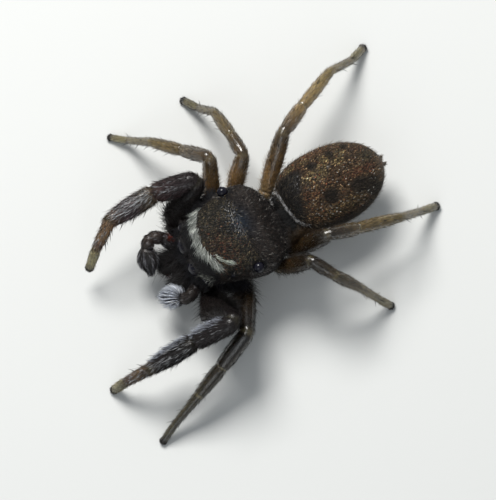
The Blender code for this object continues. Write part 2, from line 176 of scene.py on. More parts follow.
class Limb:
    """A jointed tube: a grid of points, with the station, heading and turn of each row and column.

    A station counts bones, so 2.5 is the middle of the third. Sections are (station, half width,
    upper half, lower half) in millimetres, and pinches are (station, depth, half length)."""

    def __init__(self, joints, sections, hinge, radius, pinches, around=24, spacing=0.05):
        joints = np.array([tuple(j) for j in joints]) / MM
        bones = np.diff(joints, axis=0)
        lengths = np.linalg.norm(bones, axis=1)
        corner = np.concatenate([[0], np.cumsum(lengths)])
        keys = np.arange(len(corner))
        at = list(np.arange(0, corner[-1], spacing)) + [corner[-1]]
        for station, _, half in pinches:
            near = np.interp(station, keys, corner)
            at += list(near + np.linspace(-2.2, 2.2, 14) * half)
        at = np.array(sorted(x for x in at if 0 <= x <= corner[-1]))
        at = at[np.concatenate([[True], np.diff(at) > 0.006])]
        centres, headings = rounded_path(joints, radius, at)
        station = np.interp(at, corner, keys)
        half = through([s[0] for s in sections], [s[1:] for s in sections], station)
        for where, depth, reach in pinches:
            near = np.interp(where, keys, corner)
            half *= (1 - depth * np.exp(-((at - near) / reach) ** 2))[:, None]
            half *= (1 + 0.25 * depth * np.exp(-((at - near + 2.2 * reach) / reach) ** 2))[:, None]
        across = unit(hinge - headings * (headings @ hinge)[:, None])
        lower = np.cross(across, headings)
        rows = []
        for end, sign in ((0, -1), (-1, 1)):
            caps = []
            for step in range(1, 7):
                turn = math.pi / 2 * step / 6
                caps.append((centres[end] + headings[end] * sign * half[end].min() * math.sin(turn),
                             headings[end], half[end] * math.cos(turn), station[end], end))
            rows.append(caps)
        whole = (rows[0][::-1]
                 + [(c, h, s, n, k) for k, (c, h, s, n) in enumerate(zip(centres, headings, half, station))]
                 + rows[1])
        self.turn = np.arange(around) * 2 * math.pi / around
        flat, rise = np.cos(self.turn), np.sin(self.turn)
        grid = []
        for centre, heading, size, where, k in whole:
            spoke = across[k] * (flat * size[0])[:, None]
            spoke += lower[k] * (rise * np.where(rise > 0, size[2], size[1]))[:, None]
            long = np.linalg.norm(spoke, axis=1)
            for j in range(1, len(bones)):
                before, after = bones[j - 1] / lengths[j - 1], bones[j] / lengths[j]
                if before @ after > 0.995 or abs(where - j) > 1:
                    continue
                side = 1 if where > j else -1
                plane = unit(before + after) * side
                room_left = (centre - joints[j]) @ plane
                toward = -(spoke @ plane) / np.maximum(long, 1e-9)
                limit = 0.97 * max(room_left, 1e-4) / np.maximum(toward, 1e-4)
                limit = np.where(toward > 1e-3, limit, 1e3)
                shorter = (np.maximum(long, 1e-6) ** -6 + np.maximum(limit, 1e-3) ** -6) ** (-1 / 6)
                spoke *= (shorter / np.maximum(long, 1e-6))[:, None]
                long = np.linalg.norm(spoke, axis=1)
            grid.append(centre + spoke)
        self.grid = np.array(grid) * MM
        self.grid[0], self.grid[-1] = self.grid[0].mean(0), self.grid[-1].mean(0)
        self.heading = np.array([w[1] for w in whole])
        self.station = np.array([w[3] for w in whole])

    def at(self, station, turn):
        """Skin point, outward normal and heading at a station and a turn in degrees."""
        row = int(np.argmin(abs(self.station - station)))
        row = min(max(row, 7), len(self.station) - 8)
        column = int(round(math.radians(turn) / (2 * math.pi) * len(self.turn))) % len(self.turn)
        point, middle = self.grid[row, column], self.grid[row].mean(0)
        outward = point - middle
        outward -= self.heading[row] * (outward @ self.heading[row])
        return point, unit(outward), self.heading[row]


def add_object(name, mesh, finish):
    """An object at the origin, in its finish."""
    mesh.materials.append(finish)
    made = bpy.data.objects.new(name, mesh)
    bpy.context.scene.collection.objects.link(made)
    return made


def settle(shape, key):
    """Put the corners and faces of a ball in a fixed order. They are made in none, and the hairs of a
    coat are drawn in the order of the faces."""
    shape.verts.sort(key=key)
    shape.verts.index_update()
    count = len(shape.verts)

    def rank(face):
        first, second, third = sorted(corner.index for corner in face.verts)[:3]
        return (first * count + second) * count + third

    shape.faces.sort(key=rank)
    shape.faces.index_update()


def lay_skin(name, grid, heading, colour, finish):
    """A ball whose rows are laid on a grid of points, closed at both poles. Each corner keeps the way
    its hairs lie and its marking, and the ball's own rows and columns are its unwrap."""
    rows, around = grid.shape[0] - 1, grid.shape[1]
    shape = bmesh.new()
    bmesh.ops.create_uvsphere(shape, u_segments=around, v_segments=rows, radius=1.0)
    lie = shape.verts.layers.float_vector.new("lie")
    marking = shape.verts.layers.float_color.new("marking")
    unwrap = shape.loops.layers.uv.new("unwrap")
    places = {}
    for corner in shape.verts:
        row = round(math.acos(max(-1.0, min(1.0, corner.co.z))) / math.pi * rows)
        column = round(math.atan2(corner.co.y, corner.co.x) / (2 * math.pi) * around) % around
        places[corner] = (row, column)
        corner.co = grid[row, column]
        corner[lie] = heading[row, column] if heading.ndim == 3 else heading[row]
        corner[marking] = (*colour[row, column], 1.0)
    for face in shape.faces:
        columns = [places[c][1] for c in face.verts if 0 < places[c][0] < rows]
        wraps = max(columns) - min(columns) > around / 2
        columns = [c + around if wraps and c < around / 2 else c for c in columns]
        for loop in face.loops:
            row, column = places[loop.vert]
            if row in (0, rows):
                column = sum(columns) / len(columns)
            elif wraps and column < around / 2:
                column += around
            loop[unwrap].uv = (column / around, row / rows)
    settle(shape, lambda corner: places[corner][0] * around + places[corner][1])
    bmesh.ops.recalc_face_normals(shape, faces=shape.faces)
    if shape.calc_volume(signed=True) < 0:
        bmesh.ops.reverse_faces(shape, faces=shape.faces)
    mesh = bpy.data.meshes.new(name)
    shape.to_mesh(mesh)
    shape.free()
    mesh.shade_smooth()
    return add_object(name, mesh, finish)


def mix(first, second, amount):
    """Blend colours (or vectors) or numbers by an amount that may be an array."""
    first, second, amount = (np.asarray(x, float) for x in (first, second, amount))
    if 3 in (first.shape[-1:] + second.shape[-1:]):
        amount = amount[..., None]
    return first + (second - first) * amount


def node_group(name, inputs, outputs):
    """An empty node group with float or vector inputs and outputs, and its two end nodes."""
    made = bpy.data.node_groups.new(name, "ShaderNodeTree")
    for title, kind, value in inputs:
        socket = made.interface.new_socket(title, in_out="INPUT", socket_type=kind)
        if value is not None:
            socket.default_value = value
    for title, kind in outputs:
        made.interface.new_socket(title, in_out="OUTPUT", socket_type=kind)
    return made, made.nodes.new("NodeGroupInput").outputs, made.nodes.new("NodeGroupOutput").inputs


# Fine uneven grain of the horny skin: a height for the bump and a gentle change of tone.
grain_group, given, put = node_group(
    "skin_grain", [("Grains per mm", "NodeSocketFloat", 30.0), ("Tone change", "NodeSocketFloat", 0.3)],
    [("Tone", "NodeSocketFloat"), ("Height", "NodeSocketFloat")])
links = grain_group.links
coordinates = grain_group.nodes.new("ShaderNodeTexCoord")
per_metre = grain_group.nodes.new("ShaderNodeMath")
per_metre.operation, per_metre.inputs[1].default_value = "MULTIPLY", 1000.0
links.new(given["Grains per mm"], per_metre.inputs[0])
grains = grain_group.nodes.new("ShaderNodeTexVoronoi")
mottle = grain_group.nodes.new("ShaderNodeTexNoise")
mottle.inputs["Scale"].default_value = 6000.0
mottle.inputs["Detail"].default_value = 4.0
links.new(per_metre.outputs[0], grains.inputs["Scale"])
for texture in (grains, mottle):
    links.new(coordinates.outputs["Object"], texture.inputs["Vector"])
tone = grain_group.nodes.new("ShaderNodeMapRange")
tone.inputs["From Min"].default_value, tone.inputs["From Max"].default_value = 0.3, 0.7
softer, stronger = (grain_group.nodes.new("ShaderNodeMath") for _ in range(2))
softer.operation, softer.inputs[0].default_value = "SUBTRACT", 1.0
stronger.operation, stronger.inputs[0].default_value = "ADD", 1.0
for change in (softer, stronger):
    links.new(given["Tone change"], change.inputs[1])
links.new(mottle.outputs["Fac"], tone.inputs["Value"])
links.new(softer.outputs[0], tone.inputs["To Min"])
links.new(stronger.outputs[0], tone.inputs["To Max"])
links.new(tone.outputs[0], put["Tone"])
links.new(grains.outputs["Distance"], put["Height"])

# Short hairs that lie flat along a limb, as fine ridges that follow its unwrap.
lying_group, given, put = node_group(
    "lying_hairs", [("Unwrap", "NodeSocketVector", None), ("Hairs around", "NodeSocketFloat", 60.0),
                    ("Hairs along", "NodeSocketFloat", 60.0)],
    [("Hair", "NodeSocketFloat"), ("Height", "NodeSocketFloat")])
links = lying_group.links
stretch = lying_group.nodes.new("ShaderNodeCombineXYZ")
links.new(given["Hairs around"], stretch.inputs[0])
links.new(given["Hairs along"], stretch.inputs[1])
scaled = lying_group.nodes.new("ShaderNodeVectorMath")
scaled.operation = "MULTIPLY"
links.new(given["Unwrap"], scaled.inputs[0])
links.new(stretch.outputs[0], scaled.inputs[1])
strands = lying_group.nodes.new("ShaderNodeTexNoise")
strands.inputs["Scale"].default_value, strands.inputs["Detail"].default_value = 1.0, 3.0
links.new(scaled.outputs[0], strands.inputs["Vector"])
sharpen = lying_group.nodes.new("ShaderNodeMapRange")
sharpen.inputs["From Min"].default_value, sharpen.inputs["From Max"].default_value = 0.42, 0.62
links.new(strands.outputs["Fac"], sharpen.inputs["Value"])
links.new(sharpen.outputs[0], put["Hair"])
links.new(strands.outputs["Fac"], put["Height"])


def skin_finish(name, roughness, grain, tone_change, around, along, hair_tone, glow=0.0, depth=6e-6,
                polish=0.0):
    """Horny skin: its marking, uneven tone, grain, and short flat hairs along the unwrap."""
    made, tree, shader = plain_material(name, (0.05, 0.03, 0.02), roughness)
    marking = tree.nodes.new("ShaderNodeAttribute")
    marking.attribute_name = "marking"
    unwrap = tree.nodes.new("ShaderNodeUVMap")
    unwrap.uv_map = "unwrap"
    grain_node, hair_node = (tree.nodes.new("ShaderNodeGroup") for _ in range(2))
    grain_node.node_tree, hair_node.node_tree = grain_group, lying_group
    grain_node.inputs["Grains per mm"].default_value = grain
    grain_node.inputs["Tone change"].default_value = tone_change
    hair_node.inputs["Hairs around"].default_value = around
    hair_node.inputs["Hairs along"].default_value = along
    toned = tree.nodes.new("ShaderNodeVectorMath")
    toned.operation = "SCALE"
    strands = tree.nodes.new("ShaderNodeMix")
    strands.data_type, strands.blend_type = "RGBA", "MULTIPLY"
    strands.inputs[7].default_value = (hair_tone, hair_tone, hair_tone, 1)
    bump, ridges = (tree.nodes.new("ShaderNodeBump") for _ in range(2))
    for node, height in ((bump, grain_node.outputs["Height"]), (ridges, hair_node.outputs["Height"])):
        node.inputs["Distance"].default_value = depth
        node.inputs["Strength"].default_value = 0.6
        tree.links.new(height, node.inputs["Height"])
    tree.links.new(unwrap.outputs[0], hair_node.inputs["Unwrap"])
    tree.links.new(marking.outputs["Color"], toned.inputs[0])
    tree.links.new(grain_node.outputs["Tone"], toned.inputs["Scale"])
    tree.links.new(hair_node.outputs["Hair"], strands.inputs[0])
    tree.links.new(toned.outputs[0], strands.inputs[6])
    tree.links.new(strands.outputs[2], shader["Base Color"])
    tree.links.new(bump.outputs[0], ridges.inputs["Normal"])
    tree.links.new(ridges.outputs[0], shader["Normal"])
    shader["Subsurface Weight"].default_value = glow
    shader["Coat Weight"].default_value = polish
    shader["Coat Roughness"].default_value = 0.14
    shader["Subsurface Radius"].default_value = (1.0, 0.5, 0.25)
    shader["Subsurface Scale"].default_value = 0.12 * MM
    return made


HIPS = {1: (1.12, -1.66, 1.11), 2: (1.335, -0.33, 1.11), 3: (1.23, 0.555, 1.11), 4: (0.915, 1.23, 1.11)}
ROOTS = {1: (0.28, -0.80, 1.08), 2: (0.30, -0.30, 1.08), 3: (0.28, 0.17, 1.08), 4: (0.24, 0.67, 1.08)}
HIP_SWING = {("right", 2): 0.06, ("left", 2): -0.06, ("right", 3): -0.28, ("left", 3): 0.13}
BONES = {
    1: (2.095, 1.45, 1.57, 1.045, 0.66), 2: (1.91, 1.28, 1.11, 1.255, 0.46),
    3: (1.635, 0.81, 1.16, 1.035, 0.55), 4: (2.185, 1.135, 1.57, 1.265, 0.66),
}
# Heading and pitch in degrees of femur, patella, tibia, metatarsus and tarsus
POSE = {
    ("right", 1): ((123, 48), (-104, -21), (-83, -1), (-56, -38), (-51, -52)),
    ("left", 1): ((12, 47), (-95, -29), (-87, -19), (-97, -41), (-102, -49)),
    ("right", 2): ((160, 54), (-144, -43), (-138, -26), (-139, -51), (-131, -23)),
    ("left", 2): ((-26, 27), (-65, -25), (-67, -22), (-69, -30), (-64, -24)),
    ("right", 3): ((138, 40), (-178, -18), (-175, -30), (-151, -55), (-152, -37)),
    ("left", 3): ((58, 52), (34, -5), (51, -46), (53, -58), (52, -45)),
    ("right", 4): ((136, 34), (123, -20), (120, -17), (107, -47), (120, -31)),
    ("left", 4): ((67, 58), (87, -34), (86, -25), (101, -54), (98, -41)),
}
SIDES = {"left": 1, "right": -1}
SOLE_HEIGHT = 0.17      # the frame's toes, above the floor
TOE_REACH = 0.10        # the real toe is thinner than the frame's and ends as far out


def part_of_leg(station):
    """Which part of a leg a station is on: 0 hip, 1 femur, 2 patella with tibia, 3 foot."""
    return (station > 1) + (station >= 2) + (station > 4)


def leg_joints(side, number):
    """Root, hip, knee, patella end, tibia end, ankle and toe of one leg."""
    mirror = SIDES[side]
    hip = Vector(HIPS[number]) + Vector((0, HIP_SWING.get((side, number), 0), 0))
    root = Vector(ROOTS[number])
    joints = [spot(root.x * mirror, root.y, root.z), spot(hip.x * mirror, hip.y, hip.z)]
    for bone, (heading, pitch) in enumerate(POSE[side, number]):
        length, heading, pitch = BONES[number][bone] * MM, math.radians(heading), math.radians(pitch)
        if bone == 4 and (side, number) != ("right", 1):
            pitch = math.asin((SOLE_HEIGHT * MM - joints[-1].z) / length)
        joints.append(joints[-1] + length * Vector((
            math.cos(heading) * math.cos(pitch), math.sin(heading) * math.cos(pitch), math.sin(pitch))))
    onward = (joints[-1] - joints[-2]).normalized()
    joints[-1] += onward * TOE_REACH * MM
    if (side, number) != ("right", 1):
        joints[-1].z = LEG_SECTIONS[number][-1][3] * MM * LEG_STOUTNESS.get((side, number), SLENDER)[3]
    return joints


# Station, half width, upper half and lower half
LEG_SECTIONS = {
    1: ((0, .20, .22, .22), (.6, .215, .235, .235), (1, .21, .23, .23), (1.25, .22, .20, .53),
        (1.5, .23, .26, .75), (1.75, .235, .245, .59), (2, .24, .30, .30), (2.3, .26, .335, .33),
        (2.7, .262, .335, .33), (3, .225, .29, .28), (3.2, .245, .305, .30), (3.6, .24, .30, .29),
        (4, .175, .21, .20), (4.15, .165, .175, .17), (4.6, .15, .155, .155), (5, .13, .135, .13),
        (5.5, .135, .135, .13), (6, .12, .12, .12)),
    2: ((0, .20, .21, .21), (.6, .215, .23, .23), (1, .205, .215, .215), (1.3, .215, .23, .23),
        (1.6, .220, .235, .24), (1.85, .21, .225, .225), (2, .195, .21, .205), (2.35, .20, .21, .205),
        (2.7, .195, .205, .20), (3, .165, .175, .17), (3.25, .172, .18, .18), (3.6, .16, .165, .165),
        (4, .13, .135, .135), (4.5, .11, .115, .115), (5, .10, .105, .105), (5.5, .10, .10, .10),
        (6, .095, .095, .095)),
    3: ((0, .19, .20, .20), (.6, .20, .21, .21), (1, .165, .175, .175), (1.3, .20, .215, .215),
        (1.6, .23, .24, .24), (1.85, .215, .225, .22), (2, .185, .20, .19), (2.4, .19, .20, .195),
        (3, .16, .165, .165), (3.3, .17, .175, .175), (3.6, .16, .165, .165), (4, .125, .125, .125),
        (4.5, .115, .115, .115), (5, .11, .11, .11), (5.5, .115, .115, .115), (6, .11, .11, .11)),
    4: ((0, .20, .21, .21), (.6, .21, .225, .225), (1, .20, .21, .21), (1.25, .22, .23, .23),
        (1.55, .24, .25, .25), (1.85, .225, .235, .235), (2, .195, .21, .20), (2.4, .205, .215, .21),
        (2.8, .20, .205, .20), (3, .17, .175, .175), (3.3, .175, .18, .18), (3.7, .162, .165, .165),
        (4, .13, .13, .13), (4.5, .12, .12, .12), (5, .115, .115, .115), (5.5, .12, .12, .12),
        (6, .115, .115, .115)),
}
# How much stouter a leg is than its sections, at its hip, femur, patella with tibia, and foot
SLENDER = (1, 1, 1, 1)
LEG_STOUTNESS = {("left", 2): (1, 1.13, 1.2, 1.1), ("left", 4): (1, 1.08, 1, 1)}
# Station, depth and half length of each pinch: hip, trochanter, knee, patella, tibia and ankle
LEG_PINCHES = ((1, .12, .05), (1.12, .14, .04), (2, .08, .045), (3, .07, .04), (4, .08, .035),
               (5, .06, .03))
FORELEG_PINCHES = ((1, .12, .05), (1.12, .14, .04), (2, .08, .045), (3, .22, .075), (4, .10, .04),
                   (5, .06, .03))
# Colour at each station, upper side: black-brown forelegs, amber-brown legs behind, pale toes
LEG_COLOURS = {
    "fore": ((0, .030, .018, .012), (1, .020, .013, .011), (1.9, .016, .011, .011),
             (2.1, .026, .016, .017), (2.6, .040, .023, .024), (2.95, .045, .028, .024),
             (3.1, .045, .034, .024), (3.5, .032, .024, .025), (3.85, .042, .028, .022),
             (4.05, .095, .056, .030), (4.5, .135, .086, .044), (4.95, .115, .078, .044),
             (5.15, .27, .23, .115), (5.7, .30, .26, .13), (6, .10, .085, .05)),
    "rear": ((0, .090, .066, .036), (1, .110, .082, .044), (1.35, .120, .072, .030),
             (1.6, .100, .060, .025), (1.95, .044, .028, .013), (2.2, .061, .039, .018),
             (2.7, .114, .076, .031), (3.1, .136, .095, .039), (3.6, .141, .103, .043),
             (4.0, .137, .105, .046), (4.5, .168, .135, .062), (4.9, .163, .133, .066),
             (5.2, .222, .194, .104), (5.75, .202, .177, .100), (6, .055, .048, .034)),
}
# How light each leg is, at its hip and the middle of its femur, patella, tibia, metatarsus and tarsus.
# This is partly each leg's own colour and partly painted light and shade: painted shade on most of
# the left legs, which stand in shade, and painted light on much of the right legs.
LEG_TONE_AND_PAINTED_LIGHT = {
    ("right", 1): (.7, .7, 1.0, 4.3, 2.3, 1.3), ("left", 1): (.6, .6, .28, .24, 1.5, .80),
    ("right", 2): (2.6, 2.3, .66, 1.20, .86, 1.05), ("left", 2): (.20, .13, .14, .17, .28, .20),
    ("right", 3): (2.3, 2.2, .64, 1.0, .58, .50), ("left", 3): (.48, .38, .20, .66, 1.10, .95),
    ("right", 4): (2.8, 1.3, 1.9, 2.2, .88, .90), ("left", 4): (.48, .34, .60, 1.25, .92, .86),
}
MEMBRANE = {"fore": (.075, .070, .035), "rear": (.15, .125, .065)}


def leg_tone_and_painted_light(side, number, station):
    """How light a leg is at a station, with its painted light and shade."""
    return np.interp(station, (1.1, 1.6, 2.5, 3.5, 4.5, 5.5), LEG_TONE_AND_PAINTED_LIGHT[side, number])


def leg_colours(limb, side, number):
    """The marking of a leg: its colour by station with its painted light and shade, darker above, paler
    membranes at the joints.
    """
    kind = "fore" if number == 1 else "rear"
    table = LEG_COLOURS[kind]
    along = through([row[0] for row in table], [row[1:] for row in table], limb.station).clip(0.004, 1)
    # The leg's painted light and shade go into its colour here.
    along = along * leg_tone_and_painted_light(side, number, limb.station)[:, None]
    colour = np.repeat(along[:, None, :], len(limb.turn), axis=1)
    above = (0.5 - 0.5 * np.sin(limb.turn))[None, :, None]
    colour = colour * (1.22 - 0.5 * above ** 2)
    for station in (2, 3, 4, 5):
        ring = np.exp(-((limb.station - station) / 0.03) ** 2) * (0.35 if station in (2, 5) else 0.75)
        colour = mix(colour, np.array(MEMBRANE[kind]), np.repeat(ring[:, None], len(limb.turn), axis=1))
    return colour.clip(0, 1)


foreleg_skin = skin_finish("foreleg_skin", 0.34, 38, 0.35, 26, 90, 0.6, 0.05, polish=0.25)
leg_skin = skin_finish("leg_skin", 0.26, 34, 0.30, 18, 70, 0.88, 0.18, polish=0.7)
limbs = {}
leg_skins = {}
for side in SIDES:
    for number in HIPS:
        stout = LEG_STOUTNESS.get((side, number), SLENDER)
        joints = leg_joints(side, number)
        hinge = unit(np.cross(joints[2] - joints[1], joints[3] - joints[2]))
        sections = [(station, *(size * stout[part_of_leg(station)] for size in sizes))
                    for station, *sizes in LEG_SECTIONS[number]]
        pinches = FORELEG_PINCHES if number == 1 else LEG_PINCHES
        limb = Limb(joints, sections, hinge, 0.14, pinches)
        skin = lay_skin(f"skin_leg_{number}_{side}", limb.grid, limb.heading,
                        leg_colours(limb, side, number), foreleg_skin if number == 1 else leg_skin)
        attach(skin, "root")
        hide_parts(*(f"leg_{number}_{side}_{part}" for part in ("coxa", "femur", "shin", "foot")))
        limbs[side, number], leg_skins[side, number] = limb, skin


# ---- Eyes --------------------------------------------------------------------------------------
# Eight round lenses of clear horn over black: two great ones and two small ones in front, a tiny
# pair on the sides and a larger pair at the rear corners. Each sits in a rim of the carapace.
EYE_AXES = {"front_middle": (.10, -1, .06), "front_side": (.45, -.85, .14), "rear_middle": (.85, -.15, .5),
            "rear_side": (.80, .08, .62)}
LENS_AROUND, LENS_ROWS, LENS_LEVELS = 40, 24, 10000
lens_glass, tree, shader = plain_material("lens", (0.004, 0.004, 0.006), 0.035)
shader["IOR"].default_value = 1.42
shader["Specular IOR Level"].default_value = 0.3
depths = tree.nodes.new("ShaderNodeTexNoise")
depths.inputs["Scale"].default_value = 2500.0
inside = tree.nodes.new("ShaderNodeTexCoord")
shades = tree.nodes.new("ShaderNodeValToRGB")
shades.color_ramp.elements[0].color = (0.002, 0.002, 0.003, 1)
shades.color_ramp.elements[1].color = (0.012, 0.012, 0.020, 1)
tree.links.new(inside.outputs["Object"], depths.inputs["Vector"])
tree.links.new(depths.outputs["Fac"], shades.inputs["Fac"])
tree.links.new(shades.outputs["Color"], shader["Base Color"])
eyes = []
for name, axis in EYE_AXES.items():
    for side, mirror in SIDES.items():
        node = f"eye_{name}_{side}"
        low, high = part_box(node)
        centre, radius = (low + high) / 2, (high.y - low.y) / 2
        outward = Vector((axis[0] * mirror, axis[1], axis[2])).normalized()
        ball = bmesh.new()
        bmesh.ops.create_uvsphere(ball, u_segments=LENS_AROUND, v_segments=LENS_ROWS, radius=radius)
        settle(ball, lambda corner: round(corner.co.z / radius * LENS_LEVELS) * LENS_AROUND
               + round(math.atan2(corner.co.y, corner.co.x) / math.tau * LENS_AROUND) % LENS_AROUND)
        bmesh.ops.rotate(ball, verts=ball.verts, matrix=outward.to_track_quat("Z", "Y").to_matrix())
        bmesh.ops.translate(ball, verts=ball.verts, vec=centre)
        mesh = bpy.data.meshes.new(f"lens_{name}_{side}")
        ball.to_mesh(mesh)
        ball.free()
        mesh.shade_smooth()
        lens = add_object(f"lens_{name}_{side}", mesh, lens_glass)
        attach(lens, "root")
        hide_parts(node)
        eyes.append((name, side, np.array(centre), radius, np.array(outward)))


# ---- Carapace ----------------------------------------------------------------------------------
# One high shield of hard horn over head and thorax: a flat square brow with the eyes at its edges, a
# shallow pit behind them where the stomach muscles hold, a steep slope behind and a rolled margin.
COAT_DEPTH = 0.03       # the skin lies this far inside the frame's solid
# Behind the rear eyes, half width, top and underside
CARAPACE_SECTIONS = (
    (-1.71, 0, 1.92, 1.92), (-1.69, .58, 2.24, 1.58), (-1.61, .88, 2.44, 1.45), (-1.42, 1.05, 2.60, 1.38),
    (-1.08, 1.16, 2.72, 1.38), (-.56, 1.30, 2.84, 1.38), (0, 1.44, 2.88, 1.38), (.36, 1.46, 2.78, 1.38),
    (.70, 1.35, 2.54, 1.38), (.98, 1.11, 2.22, 1.38), (1.17, .76, 1.94, 1.50), (1.28, .36, 1.76, 1.60),
    (1.31, 0, 1.68, 1.68))
CARAPACE_WAIST, CARAPACE_BOXINESS = 1.92, 2.7
CARAPACE_AROUND, CARAPACE_ROWS = 144, 130
# Degrees from a lens's axis: its edge, how far the rim slopes off, how it blends, where it ends
LENS_EDGE = {"front_middle": 60, "front_side": 60, "rear_middle": 62, "rear_side": 64}
RIM_REACH, RIM_BLEND, RIM_END = 38, 9, 125
RIM_SHARPNESS = 14      # how crisply a rim meets the shield
RIM_HEIGHT = {"front_middle": .030, "front_side": .030, "rear_middle": .028, "rear_side": .045}


def smooth_step(x, start, end):
    """0 before start, 1 after end, smooth between."""
    t = np.clip((np.asarray(x, float) - start) / (end - start), 0, 1)
    return t * t * (3 - 2 * t)


def carapace_grid():
    """The shield's points, with eye rims, pit, groove and margin worked into them."""
    index = np.linspace(0, len(CARAPACE_SECTIONS) - 1, CARAPACE_ROWS + 1)
    y, wide, top, under = through(np.arange(len(CARAPACE_SECTIONS)), CARAPACE_SECTIONS, index).T
    turn = np.arange(CARAPACE_AROUND) * 2 * np.pi / CARAPACE_AROUND
    power = 2 / CARAPACE_BOXINESS
    flat = np.sign(np.cos(turn)) * abs(np.cos(turn)) ** power
    rise = abs(np.sin(turn)) ** power
    wide = np.maximum(wide - COAT_DEPTH, 0) * (wide > 0.02)
    x = wide[:, None] * flat
    up = (top - COAT_DEPTH - CARAPACE_WAIST)[:, None] * rise
    down = (under + COAT_DEPTH - CARAPACE_WAIST)[:, None] * np.minimum(1, 1.15 * rise)
    z = CARAPACE_WAIST + np.where(np.sin(turn) >= 0, up, down)
    y = np.repeat((y * 0.985)[:, None], CARAPACE_AROUND, axis=1)
    ends = np.arange(CARAPACE_ROWS + 1)[:, None]
    z = np.where((ends == 0) | (ends == CARAPACE_ROWS), CARAPACE_SECTIONS[0][2] * (ends == 0)
                 + CARAPACE_SECTIONS[-1][2] * (ends > 0), z)
    upper = smooth_step(z, 2.1, 2.5)
    z = z - upper * 0.050 * np.exp(-(x / .06) ** 2 - ((y - .46) / .15) ** 2)
    z = z - upper * 0.014 * np.exp(-((y - .34 - .12 * x ** 2) / .14) ** 2)
    z = z - upper * 0.020 * np.exp(-((abs(x) - .52) / .16) ** 2 - ((y + .55) / .35) ** 2)
    for lobe in (-1, 1):
        z = z + upper * 0.02 * np.exp(-((x - lobe * .5) / .3) ** 2 - ((y + .1) / .28) ** 2)
    margin = np.exp(-((z - 1.50) / .035) ** 2) * (np.sin(turn) < 0)
    x = x * (1 + 0.012 * margin)
    points = np.stack([x, y, z], axis=-1) * MM + np.array(under_the_eyes)
    for name, _, centre, radius, outward in eyes:
        arm = points - centre
        reach = np.linalg.norm(arm, axis=-1)
        angle = np.degrees(np.arccos(np.clip((arm @ outward) / reach, -1, 1)))
        edge, height = LENS_EDGE[name], RIM_HEIGHT[name] * MM
        lifted = radius + height * np.exp(-(np.maximum(angle - edge, 0) / RIM_REACH) ** 2)
        pushed = (reach ** RIM_SHARPNESS + lifted ** RIM_SHARPNESS) ** (1 / RIM_SHARPNESS)
        near = smooth_step(reach, radius + 5 * height, radius + 1.5 * height) * (angle < RIM_END)
        rimmed = mix(reach, pushed, near)
        sunk = np.minimum(reach, radius * 0.90)
        length = mix(rimmed, sunk, smooth_step(angle, edge, edge - RIM_BLEND))
        points = centre + arm * (length / reach)[..., None]
    return points


def local(points):
    """Places in the spider's own millimetres: left, back and up from below the rear eyes."""
    return (np.asarray(points) - np.array(under_the_eyes)) / MM


def blob(place, x, y, wide, long):
    """A soft round patch on the back, as an amount."""
    return np.exp(-((place[..., 0] - x) / wide) ** 2 - ((place[..., 1] - y) / long) ** 2)


HORN_BLACK, HORN_BROWN = np.array((.013, .011, .011)), np.array((.028, .021, .017))
BROW_BRONZE, BROW_RUST = np.array((.024, .022, .015)), np.array((.036, .020, .013))
BARE_BLACK_AND_PAINTED_BLUE, RIM_BLACK = np.array((.004, .009, .017)), np.array((.004, .004, .005))
# The white fringe over the front eyes and its short branch, as places to the left and behind
FRINGE_LINE = ((-1.28, -.72), (-1.04, -1.00), (-.60, -1.22), (-.10, -1.30), (.24, -1.26), (.48, -1.18),
               (.68, -1.09))
FRINGE_BRANCH = ((.40, -1.08), (.62, -.95), (.84, -.70))


def before_fringe(place):
    """How far a place lies in front of the fringe, as an amount: the black face."""
    x, y = place[..., 0], place[..., 1]
    return smooth_step(np.interp(x, *zip(*FRINGE_LINE)) - y, 0, .12)


def carapace_marking(place):
    """Black-brown sides, a bronze brow that is rusty in front, and a bare black middle with a painted
    blue reflection.
    """
    x, y, z = place[..., 0], place[..., 1], place[..., 2]
    colour = mix(HORN_BLACK, HORN_BROWN, smooth_step(z, 1.5, 2.5))
    brow = smooth_step(z, 2.25, 2.6) * smooth_step(y, .25, -.15)
    colour = mix(colour, BROW_BRONZE, brow * 0.9)
    colour = mix(colour, BROW_RUST, brow * 0.75 * blob(place, .35, -.85, .42, .30))
    # The bare middle is black horn under a painted blue reflection.
    colour = mix(colour, BARE_BLACK_AND_PAINTED_BLUE, smooth_step(z, 2.4, 2.6) * blob(place, -.16, .09, .60, .38))
    for _, _, centre, radius, _ in eyes:
        gap = np.linalg.norm(place - local(centre), axis=-1) - radius / MM
        colour = mix(colour, RIM_BLACK, smooth_step(gap, .18, .05))
    colour = mix(colour, RIM_BLACK * 1.6, before_fringe(place) * .85)
    return mix(colour, HORN_BLACK, smooth_step(y, .5, .95) * 0.5)


carapace_points = carapace_grid()
carapace_place = local(carapace_points)
forward = smooth_step(carapace_place[..., 1], .45, -.35)[..., None]
inward = -np.sign(carapace_place[..., :1]) * smooth_step(abs(carapace_place[..., :1]), 0, .6)
carapace_lie = (forward * np.concatenate([0.35 * inward, -1 + 0 * inward, -0.25 + 0 * inward], axis=-1)
                + (1 - forward) * np.concatenate([-0.3 * inward, 1 + 0 * inward, -0.6 + 0 * inward], axis=-1)
                + 4 * forward * (1 - forward) * np.array((0.9, 0, 0)))
carapace_horn = skin_finish("carapace_horn", 0.30, 42, 0.35, 260, 200, 0.80, 0.0, 5e-6)
carapace = lay_skin("carapace_shell", carapace_points, carapace_lie, carapace_marking(carapace_place),
                    carapace_horn)
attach(carapace, "root")
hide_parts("carapace")


